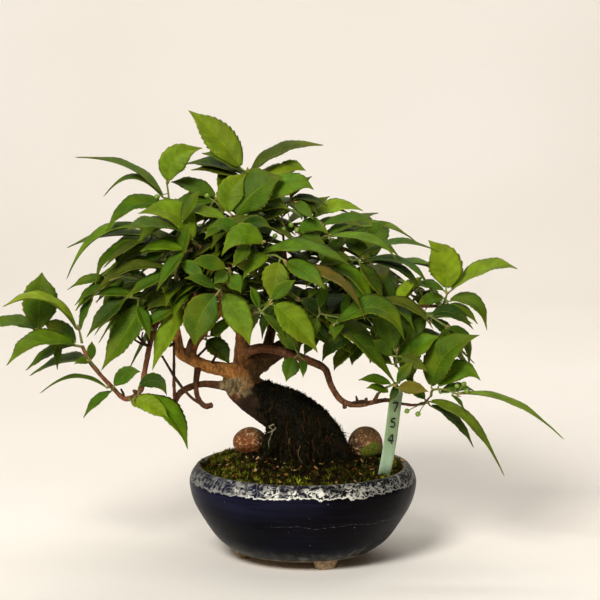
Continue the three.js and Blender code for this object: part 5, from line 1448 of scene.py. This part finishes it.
def add_chip(soup, centre, normal, generator):
    """A small curled flake of bark or dead leaf that lies on the moss."""
    lean = unit(normal + 0.5 * generator.normal(size=3))
    aside = unit(np.cross(lean, generator.normal(size=3)))
    third = np.cross(lean, aside)
    size, slim = generator.uniform(0.9, 2.3), generator.uniform(0.3, 0.7)
    top = []
    for k in range(6):
        angle = math.pi * k / 3
        reach = size * generator.uniform(0.75, 1.15)
        bend = 0.35 * size * math.cos(angle) ** 2
        top.append(centre + reach * (math.cos(angle) * aside + slim * math.sin(angle) * third) + lean * bend)
    under = [p - lean * 0.35 for p in top]
    sides = [(k, k + 6, (k + 1) % 6 + 6, (k + 1) % 6) for k in range(6)]
    tone = CHIPS[generator.integers(len(CHIPS))] * generator.uniform(0.6, 1.3)
    soup.add([*top, *under], [tuple(range(6)), tuple(range(11, 5, -1)), *sides], tone)


def greenness(x, y, radius):
    """How green the moss is at a place: greener at the rim, at the right and at the front left."""
    right, left = float(smooth(0, 60, x)), float(smooth(-10, -60, x))
    far_left, front = float(smooth(-20, -60, x)), float(smooth(0, -50, y))
    green = 0.5 * fbm((x, y, 0), 17.0, 3) + float(smooth(40, 78, radius)) * 0.75
    green += 0.35 * right - 0.2 + 0.3 * far_left * front
    green += 0.35 * left - 0.35 * float(smooth(60, 30, radius))
    return green - 0.35 * float(smooth(5, 30, x)) * float(smooth(78, 66, radius))


def under_trunk(tree, x, y, z):
    """Whether a place on the soil lies inside the trunk or close under its roots."""
    hit = tree.ray_cast(Vector((x, y, 200.0)), Vector((0, 0, -1)))[0]
    if hit is None or hit[2] <= z or tree.find_nearest(Vector((x, y, z + 1.2)))[3] <= 0:
        return False
    up = tree.ray_cast(Vector((x, y, z + 0.5)), Vector((0, 0, 1)))
    return up[0] is None or up[1][2] > 0


def by_stone(x, y):
    """Whether a place lies under a stone or close in front of it."""
    for place, (wide, deep, _), *_ in STONES.values():
        cx, cy, _ = seen(*place)
        if np.hypot((x - cx) / wide, (y - cy) / deep) < (1.14 if y < cy else 0.72):
            return True
    return False


def build_moss(materials, trunk_points, trunk_faces):
    """The cushion of moss on the soil: small closed leaflets in tufts, some on the rim."""
    generator, soup = np.random.default_rng(7), Soup()
    tree = BVHTree.FromPolygons([tuple(p) for p in trunk_points], trunk_faces)
    for _ in range(SOIL_TUFTS):
        angle = generator.uniform(0, 2 * math.pi)
        radius = MOSS_REACH * math.sqrt(generator.uniform())
        x, y = radius * math.cos(angle), radius * math.sin(angle)
        z = soil_height(radius) + soil_lift(x, y)
        if radius > MOSS_ON_RIM:
            if fbm((x, y, 70), 9.0, 2) < 0.05:
                continue
            z = RIM[1] + 1.0
        if under_trunk(tree, x, y, z) or by_stone(x, y):
            continue
        green, clump = greenness(x, y, radius), fbm((x, y, 40), 4.6, 2)
        tones = YOUNG_MOSS if green + 1.1 * clump > 1.0 else MOSS_TONES if green + clump > 0.2 else DARK_MOSS
        tone = tones[generator.integers(len(tones))] * (1 + 0.9 * max(clump, -0.7))
        normal, foot = unit([0.3 * x / 80, 0.3 * y / 80, 1]), np.array([x, y, z])
        if generator.uniform() < CHIP_SHARE:
            add_chip(soup, foot + normal * 1.6, normal, generator)
        moss_tuft(soup, foot, normal, generator, 2.3 + 1.3 * clump, tone, 3, 0.2)
    put(soup.object("soil_moss", materials, shade_smooth=False))


# Each stone's centre, its half widths, its seed, its colour, and whether algae grow on it
STONES = {
    "stone_left": ((250, 442, 15), (13.5, 12, 12.5), 1.3, linear(128, 68, 27), False),
    "stone_right": ((365, 444, 8), (15, 13.5, 13.5), 4.1, linear(124, 80, 44), True),
}
STONE_LUMPS = 0.045
STONE_SPLITS = 6


def blended(tones, tone, share):
    return tones * (1 - share[:, None]) + tone * share[:, None]


def build_stones(materials):
    for name, (place, radii, seed, base, has_algae) in STONES.items():
        work = bmesh.new()
        bmesh.ops.create_icosphere(work, subdivisions=STONE_SPLITS, radius=1)
        points = np.array([v.co[:] for v in work.verts])
        faces = [tuple(v.index for v in f.verts) for f in work.faces]
        work.free()
        swelling = np.sin(2.3 * points[:, 0] + seed) * np.cos(1.9 * points[:, 1] - seed)
        reach = 1 + STONE_LUMPS * (swelling + np.sin(3.1 * points[:, 2] + seed))
        grain = fbm_rows(points * 12 + seed * 9, 5.0, 4)
        pits = np.maximum(fbm_rows(points * 12 + seed * 3, 1.6, 2) - 0.35, 0)
        reach = reach * (1 + 0.008 * grain - 0.02 * pits)
        centre = seen(*place)
        points = points * reach[:, None] * np.array(radii) + centre
        x, y, z = (points - centre).T
        # Painted shade on each stone's side turned from the light: the left stone darkens on its right,
        # beside the trunk, and the right stone on its left and lower side.
        painted_shade = smooth(4, -6, x + 0.6 * z) if has_algae else smooth(2, 9, x)
        speck = smooth(0.3, 0.6, fbm_rows(points + 200, 1.3, 2))[:, None]
        tones = base * (1 + 0.35 * fbm_rows(points, 6.0, 3))[:, None] * (1 - 0.8 * painted_shade[:, None])
        tones = tones + speck * linear(196, 160, 116) * 0.5
        tones = blended(tones, linear(84, 72, 44), 0.45 * smooth(2, 11, z))
        algae = np.zeros(len(points))
        if has_algae:
            across, _, up = (points - seen(371, 450, centre[1] - radii[1])).T
            reach = np.hypot(across / 8.6, up / 8.2) + 0.12 * fbm_rows(points, 4.0, 2)
            low = smooth(5.6, 4.6, up - 0.45 * across + fbm_rows(points, 5.0, 2))
            algae = smooth(1.05, 0.9, reach) * low * smooth(4, 0, y)
            tones = blended(tones, linear(100, 110, 28), algae)
        # Painted shade along the foot of each stone, where it sits in the moss.
        tones = blended(tones, linear(34, 26, 14), 0.75 * smooth(-5, -9, z))
        soup = Soup()
        soup.add(points, faces, np.clip(tones, DARKEST, 1), algae)
        put(soup.object(name + "_fine", materials), name)


LABEL_SPINE = [
    (380, 494, -36), (383, 480, -41.5), (387, 460, -45), (391, 436, -45), (394, 412, -45), (397, 390, -45),
]
LABEL_TURN = math.radians(32)
LABEL_WIDTH = 12


def label_rows(count):
    rows = curve_rows(seen_rows(LABEL_SPINE), count)
    along = directions(rows)
    across = np.array([math.cos(LABEL_TURN), math.sin(LABEL_TURN), 0])
    side = unit(across - along * (along @ across)[:, None])
    return rows, along, side, np.cross(along, side)


# The strokes of three plain digits, on a unit square
DIGITS = [
    [(0.1, 0.9), (0.9, 0.9), (0.45, 0.0)],
    [(0.8, 0.95), (0.2, 0.9), (0.15, 0.55), (0.6, 0.6), (0.85, 0.35), (0.6, 0.02), (0.1, 0.1)],
    [(0.7, 0.0), (0.7, 1.0), (0.05, 0.35), (0.95, 0.35)],
]
DIGIT_WIDTH, DIGIT_HEIGHT = 5.4, 7.4
PEN_RADIUS = 0.62
INK = (0.02, 0.022, 0.03)


def build_label(materials):
    soup, count = Soup(), 60
    rows, along, side, face = label_rows(count)
    shares = np.linspace(0, 1, count)
    half = LABEL_WIDTH / 2 * np.minimum(1, 0.25 + 4 * shares) * np.where(shares > 0.975, 0.96, 1)
    edge = [(-1, -0.2), (-0.97, -0.5), (-0.5, -0.5), (0, -0.5), (0.5, -0.5), (0.97, -0.5), (1, -0.2)]
    ring = edge + [(-u, -v) for u, v in edge]
    points = [rows[i] + side[i] * u * half[i] + face[i] * (v * 0.8 + 0.35 * (1 - u * u))
              for i in range(count) for u, v in ring]
    points += [rows[0] - along[0] * 0.2, rows[-1] + along[-1] * 0.3]
    soup.add(points, ring_faces(count, len(ring)))
    for number, stroke in enumerate(DIGITS):
        i = int((0.86 - 0.135 * number) * (count - 1))
        add_stroke(soup, rows[i], along[i], side[i], face[i], -1 if face[count // 2][1] > 0 else 1, stroke)
    put(soup.object("plant_label_fine", materials), "plant_label")


def add_stroke(soup, middle, along, side, face, front, stroke):
    """The pen stroke of an upright digit, lying flat on the label's front."""
    centres = []
    for x, y, _ in curve_rows([(x, y, 0) for x, y in stroke], 12):
        aside = (x - 0.5) * DIGIT_WIDTH
        centres.append(middle + along * (y - 0.5) * DIGIT_HEIGHT + side * (x - 0.5) * DIGIT_WIDTH
                       + face * front * (0.42 + 0.3 * (1 - (aside / 6) ** 2)))
    body, faces = tube(centres, PEN_RADIUS, 6)
    goal = np.repeat((np.array(centres) - middle) @ face, 6)
    goal = np.concatenate([goal, goal[:1], goal[-1:]])
    body = body - face * (((body - middle) @ face - goal) * 0.8)[:, None]
    soup.add(body, faces, INK, slot=1)


# Materials

def leaf_material():
    """Side veins that bend to the tip, a fine net, a paler edge that is partly a painted highlight, yellow
    patches that are partly a painted glow of light through the blade, painted shade on the panels between the
    veins, and a paler underside.
    """
    n = Nodes("leaf", 0.12)
    under = n.attribute("mark", "Fac")
    u, v, _ = n.split(n.node("ShaderNodeUVMap", 0, {"uv_map": "leaf"}))
    number = n.math("FLOOR", u * 0.99999)
    along = u - number
    aside = abs(v * 2 - 1)
    vein_count = n.math("SINE", number * 2.4) * 0.5 + 7.3
    phase = (n.math("POWER", aside, 1.2) * -0.19 + along) * vein_count
    off = abs(n.math("FRACT", phase + 0.5) - 0.5)
    vein = n.math("SUBTRACT", 1, off / (aside * -0.05 + 0.075), clamp=True)
    rib = n.math("SUBTRACT", 1, aside / (along * -0.035 + 0.055), clamp=True)
    lines = n.most(rib, vein * 0.75)
    net_line = n.ramp(n.cells(620), 0, 0.12, 1, 0)
    shade = n.ramp(n.noise(90), 0.3, 0.7, 0.72, 1.18) + n.ramp(n.noise(900, 2), 0.3, 0.7, -0.06, 0.06)
    # Painted shade of the raised panels: lighter at the middle of each panel between the veins, darker into
    # the vein grooves.
    shade = shade * n.ramp(off, 0.1, 0.5, 0.94, 1.06)
    grey = n.node("ShaderNodeCombineXYZ", X=shade, Y=shade, Z=shade)
    colour = n.mix(1, n.attribute("tone"), grey, "MULTIPLY")
    # Yellow patches and a yellower tip, partly a painted glow of light through the thin blade.
    yellow_and_painted_glow = n.ramp(n.noise(34, 2), 0.5, 0.7, 0, 0.3) + n.ramp(along, 0.5, 1, 0, 0.3)
    colour = n.mix(yellow_and_painted_glow, colour, linear(112, 116, 10))
    colour = n.mix(lines * 0.36, colour, linear(138, 158, 26))
    colour = n.mix(net_line * 0.08, colour, linear(108, 128, 26))
    # A paler, yellower edge, partly a painted highlight along the margin.
    colour = n.mix(n.ramp(aside, 0.88, 0.98, 0, 0.6), colour, linear(150, 154, 26))
    colour = n.mix(under, colour, n.mix(0.35, colour, linear(80, 100, 24)))
    groove = lines * (under * 2.2 - 1)
    height = n.noise(420) * 0.25 + (groove * 0.5 + net_line * -0.12)
    return n.finish(colour, height, 0.0006, 0.8, n.noise(160, 2) * 0.22 + (under * 0.2 + 0.42))


def stem_material():
    n = Nodes("stem", 0.35)
    hair = n.noise(1500, stretch=(1, 1, 0.4))
    patch = n.noise(160)
    colour = n.mix(n.ramp(patch, 0.42, 0.7, 0, 0.5), n.attribute("tone"), linear(104, 74, 44))
    colour = n.mix(n.ramp(hair, 0.5, 0.75, 0, 0.35), colour, linear(170, 168, 120))
    return n.finish(colour, hair + patch, 0.0004, 0.7, n.ramp(patch, 0.3, 0.7, 0.5, 0.7))


def berry_material():
    n = Nodes("berry", 0.5)
    patch = n.noise(420)
    colour = n.mix(n.ramp(patch, 0.35, 0.7, 0, 0.6), n.attribute("tone"), linear(150, 170, 60))
    return n.finish(colour, patch, 0.0002, 0.4, n.ramp(patch, 0.3, 0.7, 0.25, 0.4))


def bark_material():
    n = Nodes("bark", 0.1)
    tone = n.attribute("tone")
    streak = n.noise(260, 5, 0.65, 0.6, (1, 1, 0.45))
    grain = n.noise(1100, 4, 0.6)
    patch = n.noise(110, 4)
    crack = n.ramp(n.cells(330, stretch=(1, 1, 0.6)), 0, 0.16, 1, 0)
    colour = n.mix(n.ramp(streak, 0.36, 0.54, 0.62, 0), tone, linear(44, 28, 18))
    colour = n.mix(n.ramp(patch, 0.55, 0.72, 0, 0.5), colour, n.scaled(tone, (1.6, 1.7, 1.8)))
    colour = n.mix(n.ramp(grain, 0.55, 0.72, 0, 0.6), colour, n.scaled(tone, (1.9, 2.0, 2.2)))
    colour = n.mix(crack * 0.28, colour, linear(38, 24, 16))
    green = n.mix(n.ramp(grain, 0.4, 0.65), linear(9, 9, 4), linear(27, 27, 9))
    colour = n.mix(n.attribute("mark", "Fac") * 0.55, colour, green)
    height = crack * -0.35 + (streak * 0.9 + grain * 0.35)
    return n.finish(colour, height, 0.0009, 0.8, n.ramp(patch, 0.3, 0.7, 0.7, 0.9))


def moss_material():
    n = Nodes("moss", 0.02)
    grain = n.noise(1400)
    colour = n.mix(n.ramp(n.noise(60), 0.4, 0.7, 0, 0.4), n.attribute("tone"), linear(46, 34, 16))
    colour = n.mix(n.ramp(grain, 0.58, 0.8, 0, 0.2), colour, linear(104, 104, 40))
    return n.finish(colour, grain, 0.0003, 0.5, n.ramp(grain, 0.3, 0.7, 0.8, 0.95))


def soil_material():
    n = Nodes("soil", 0.05, roughness=0.95)
    clod = n.cells(420, "F1")
    grain = n.noise(900, 5, 0.65)
    colour = n.mix(n.ramp(grain, 0.35, 0.7), linear(12, 9, 5), linear(38, 28, 14))
    colour = n.mix(n.ramp(n.noise(55, 4), 0.45, 0.65, 0, 0.7), colour, linear(34, 34, 10))
    colour = n.mix(n.ramp(clod, 0.1, 0.5, 0.3, 0), colour, linear(64, 44, 24))
    return n.finish(colour, grain + clod, 0.0015, 0.9)


def lime_on(n, tall, across, reach, cloud, fine, fleck):
    """The lime of the rim and the line of bare clay on the lip. The lime is a thin film of specks down to
    a line that wanders, and curls that are whitest just above it, near the front."""
    drip = n.noise(55, 4, 0.6, stretch=(1, 1, 0.25))
    jag = n.noise(170, 3, 0.7, stretch=(1, 1, 0.3))
    over = tall - (jag * 7 + (drip * 9 + 57.2))
    near_front = n.ramp(abs(across + 2), 30, 62, 1, 0.35)
    curl = n.noise(105, 2, 0.5, 1.6, (1, 1, 1.3))
    curl = n.ramp(abs(curl - 0.5), 0.018, 0.036, 1, 0)
    edge = n.ramp(abs(over), 0.25, 0.7, 1, 0) * n.ramp(fine, 0.36, 0.46)
    patchy = n.ramp(n.noise(75, 3, 0.6, 0.5), 0.45, 0.53)
    lace = n.ramp(fleck, 0.5, 0.54) * patchy
    zone = n.ramp(over, -0.4, 0.2) * n.ramp(over, 4, 9, 1, 0.3)
    curl = n.most(curl * n.ramp(patchy, 0, 1, 0.3, 0.95), lace) * zone
    curl = n.most(curl, edge) * near_front
    speck = n.ramp(fleck, 0.57, 0.6) * n.ramp(over, -1, 2, 0, 0.35)
    film = n.ramp(over, 0, 4, 0, 0.012) * n.ramp(cloud, 0.35, 0.6, 0.3, 1)
    lip_line = n.ramp(reach, RIM[0] - 3.6, RIM[0] - 2.4, 1, 0) * n.ramp(tall, 71, 73)
    return n.most(curl, speck, film), lip_line * near_front * n.ramp(fine, 0.36, 0.56, 0.5, 1)


def glaze_material():
    """Near-black blue glaze: lime under the lip, a scratch, haze low on the wall, bare clay feet, and a
    painted blue highlight high on the left of the belly.
    """
    n = Nodes("glaze", 0.04)
    x, y, z = n.split(n.place)
    tall = z * 1000
    across, deep = x * 1000 - 1000 * AXIS[0], y * 1000 - 1000 * AXIS[1]
    reach = n.math("SQRT", across * across + deep * deep)
    cloud = n.noise(26, 4, 0.6)
    broad = n.noise(11)
    fine = n.noise(420, 5, 0.7, 0.4)
    fleck = n.noise(170, 3, 0.6, 1.1, (1, 1, 1.3))
    wheel = n.noise(330, 4, 0.6, stretch=(0.06, 0.06, 1))
    colour = n.mix(n.ramp(cloud, 0.35, 0.68), linear(3, 3, 6), linear(9, 10, 22))
    # A painted highlight: a blue sheen high on the belly's left, broken by the wheel marks.
    painted_highlight = n.ramp(tall, 42, 60) * n.ramp(across, -8, 34, 1, 0)
    colour = n.mix(painted_highlight * n.ramp(wheel, 0.3, 0.6, 0.3, 0.7), colour, linear(26, 28, 52))
    colour = n.mix(n.ramp(broad, 0.46, 0.66, 0, 0.5), colour, linear(14, 9, 8))
    colour = n.mix(n.ramp(wheel, 0.5, 0.72, 0, 0.22), colour, linear(30, 34, 58))
    lime, lip_line = lime_on(n, tall, across, reach, cloud, fine, fleck)
    colour = n.mix(lime, colour, linear(222, 220, 208))
    colour = n.mix(lip_line, colour, linear(186, 172, 136))
    streak = n.noise(150, 5, 0.7, stretch=(1, 1, 0.4))
    low = n.ramp(cloud * 26 + tall, 20, 36, 1, 0) * n.ramp(streak, 0.44, 0.66, 0.06, 0.8)
    low = low * n.ramp(broad, 0.4, 0.6, 0.4, 1)
    colour = n.mix(low, colour, linear(124, 126, 118))
    dots = n.ramp(n.cells(120, "F1"), 0.07, 0.1, 1, 0) * n.ramp(fleck, 0.5, 0.56)
    colour = n.mix(dots * 0.5, colour, linear(140, 144, 152))
    bare = n.ramp(n.noise(90) * 3 + tall, 8.9, 10.6, 1, 0)
    clay = n.mix(n.ramp(fine, 0.35, 0.65), linear(124, 100, 76), linear(188, 164, 132))
    colour = n.mix(bare, colour, clay)
    wander = n.noise(20, stretch=(1, 1, 0.05)) * 16 + 33.5
    scratch = n.ramp(abs(tall - wander), 0.1, 0.35, 1, 0) * n.ramp(broad, 0.5, 0.62)
    colour = n.mix(scratch * n.ramp(fine, 0.4, 0.6) * 0.35, colour, linear(130, 134, 144))
    colour = n.mix(n.ramp(n.noise(1300), 0.68, 0.8, 0, 0.3), colour, linear(110, 114, 124))
    dull = n.most(lime, low, bare, lip_line)
    rough = n.math("ADD", cloud * 0.2 + 0.26, dull * 0.4, clamp=True)
    return n.finish(colour, lime * 0.5 + fine * 0.2, 0.0005, 0.5, rough)


def stone_material():
    n = Nodes("stone", 0.2)
    grain = n.noise(800, 5, 0.65)
    blot = n.noise(380, 4, 0.7)
    clean = n.math("SUBTRACT", 1, n.attribute("mark", "Fac"))
    colour = n.mix(n.ramp(grain, 0.36, 0.6, 0.6, 0), n.attribute("tone"), linear(38, 20, 12))
    colour = n.mix(n.ramp(blot, 0.54, 0.62, 0, 0.75) * clean, colour, linear(196, 156, 112))
    return n.finish(colour, blot + grain, 0.0008, 0.7, n.ramp(grain, 0.3, 0.7, 0.5, 0.8))


def label_material():
    """Mint plastic that yellows towards its foot and is dirty at the soil, with painted shadow of the leaves
    above it turning its upper part olive.
    """
    n = Nodes("label", 0.45)
    grain = n.noise(700, 4, stretch=(1, 1, 0.2))
    stain = n.noise(110, 4)
    tall = n.split(n.place)[2] * 1000
    colour = n.mix(n.ramp(stain, 0.35, 0.7), linear(150, 184, 150), linear(176, 202, 168))
    # Painted shadow of the leaves over the label: olive towards its top.
    colour = n.mix(n.ramp(stain * 20 + tall, 92, 122, 0, 0.75), colour, linear(118, 138, 84))
    colour = n.mix(n.ramp(stain * 14 + tall, 78, 96, 0.6, 0), colour, linear(96, 104, 66))
    colour = n.mix(n.ramp(grain, 0.6, 0.8, 0, 0.25), colour, linear(112, 140, 112))
    return n.finish(colour, grain, 0.0002, 0.4, n.ramp(stain, 0.3, 0.7, 0.34, 0.55))


def ink_material():
    n = Nodes("ink", 0.3)
    fade = n.noise(600)
    colour = n.mix(n.ramp(fade, 0.45, 0.75), linear(10, 12, 16), linear(30, 34, 36))
    return n.finish(colour, fade, 0.0001, 0.3, n.ramp(fade, 0.3, 0.7, 0.4, 0.6))


def screen_material():
    n = Nodes("drain_mesh", 0.35)
    dust = n.noise(120)
    colour = n.mix(n.ramp(dust, 0.45, 0.7, 0, 0.6), linear(24, 24, 24), linear(84, 70, 50))
    return n.finish(colour, n.noise(900), 0.0002, 0.4, n.ramp(dust, 0.3, 0.7, 0.5, 0.8))


def paper_material():
    n = Nodes("backdrop", 0.15)
    colour = n.mix(n.ramp(n.noise(1.2, 2), 0.3, 0.7), linear(243, 236, 227), linear(248, 242, 234))
    return n.finish(colour, n.noise(300, 2), 0.0002, 0.1)


# The studio

def build_stage():
    """A seamless sweep of pale paper: floor, curve and wall."""
    profile = [(-3.0, 0.0), (1.0, 0.0), (1.2, 0.0), (1.4, 0.0)]
    profile += [(1.6 + math.sin(a), 1.0 - math.cos(a)) for a in np.linspace(0.1, math.pi / 2, 14)]
    profile += [(2.6, 2.0), (2.6, 4.5)]
    points = [(x, y, z) for y, z in profile for x in (-4.5, -1.5, 1.5, 4.5)]
    corners = [4 * r + c for r in range(len(profile) - 1) for c in range(3)]
    faces = [(a, a + 1, a + 5, a + 4) for a in corners]
    mesh = bpy.data.meshes.new("sweep")
    mesh.from_pydata(points, [], faces)
    mesh.polygons.foreach_set("use_smooth", np.full(len(faces), True))
    mesh.materials.append(paper_material())
    sweep = bpy.data.objects.new("sweep", mesh)
    bpy.context.scene.collection.objects.link(sweep)


def area_light(name, place, aim, size, power, colour=(1, 1, 1)):
    light = bpy.data.lights.new(name, "AREA")
    light.shape = "RECTANGLE"
    light.size, light.size_y = size
    light.energy = power
    light.color = colour
    lamp = bpy.data.objects.new(name, light)
    lamp.location = place
    lamp.rotation_euler = (Vector(aim) - Vector(place)).to_track_quat("-Z", "Y").to_euler()
    bpy.context.scene.collection.objects.link(lamp)


def build_lights():
    area_light("key", (-0.6, -1.6, 1.35), (0.0, 0.0, 0.2), (0.6, 0.6), 46.0, (1.0, 0.985, 0.94))
    area_light("top", (0.1, 0.3, 2.3), (0, 0, 0), (1.6, 1.6), 8.0, (1.0, 0.985, 0.95))
    area_light("floor_wash", (0.9, 0.6, 1.2), (0.5, 0.35, 0.0), (1.0, 0.6), 1.8, (1.0, 0.99, 0.96))
    area_light("back_wash", (0.0, 1.0, 2.6), (0.0, 2.4, 0.9), (3.0, 0.8), 42.0, (1.0, 0.99, 0.965))
    world = bpy.data.worlds.new("studio")
    world.use_nodes = True
    background = world.node_tree.nodes["Background"]
    background.inputs["Color"].default_value = (1.0, 0.97, 0.92, 1)
    background.inputs["Strength"].default_value = 0.05
    bpy.context.scene.world = world


def build_camera():
    camera = bpy.data.cameras.new("view")
    camera.sensor_width = 36.0
    camera.lens = 18.0 * VIEW_DISTANCE / (VIEW_CENTRE * MM_PER_PIXEL)
    camera.dof.use_dof = False
    camera.clip_start, camera.clip_end = 0.05, 20.0
    holder = bpy.data.objects.new("view", camera)
    holder.location = Vector(EYE * MM + AXIS)
    holder.rotation_euler = (math.pi / 2 - VIEW_PITCH, 0, 0)
    bpy.context.scene.collection.objects.link(holder)
    bpy.context.scene.camera = holder


build_camera()
build_stage()
build_lights()
bpy.context.scene.view_settings.view_transform = "Standard"
bpy.context.scene.view_settings.look = "None"

leaf_materials = [leaf_material(), stem_material(), berry_material()]
bark, moss = bark_material(), moss_material()
wood = build_wood([bark])
build_trunk_moss(*wood, [moss])
build_pot([glaze_material()])
build_soil([soil_material()])
build_moss([moss], wood[0], wood[2])
build_stones([stone_material()])
build_label([label_material(), ink_material()])
build_shoots(leaf_materials)
build_inner(leaf_materials, BVHTree.FromPolygons(wood[0].tolist(), wood[2]))
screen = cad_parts["drain_screen"]
screen.data.materials.clear()
screen.data.materials.append(screen_material())
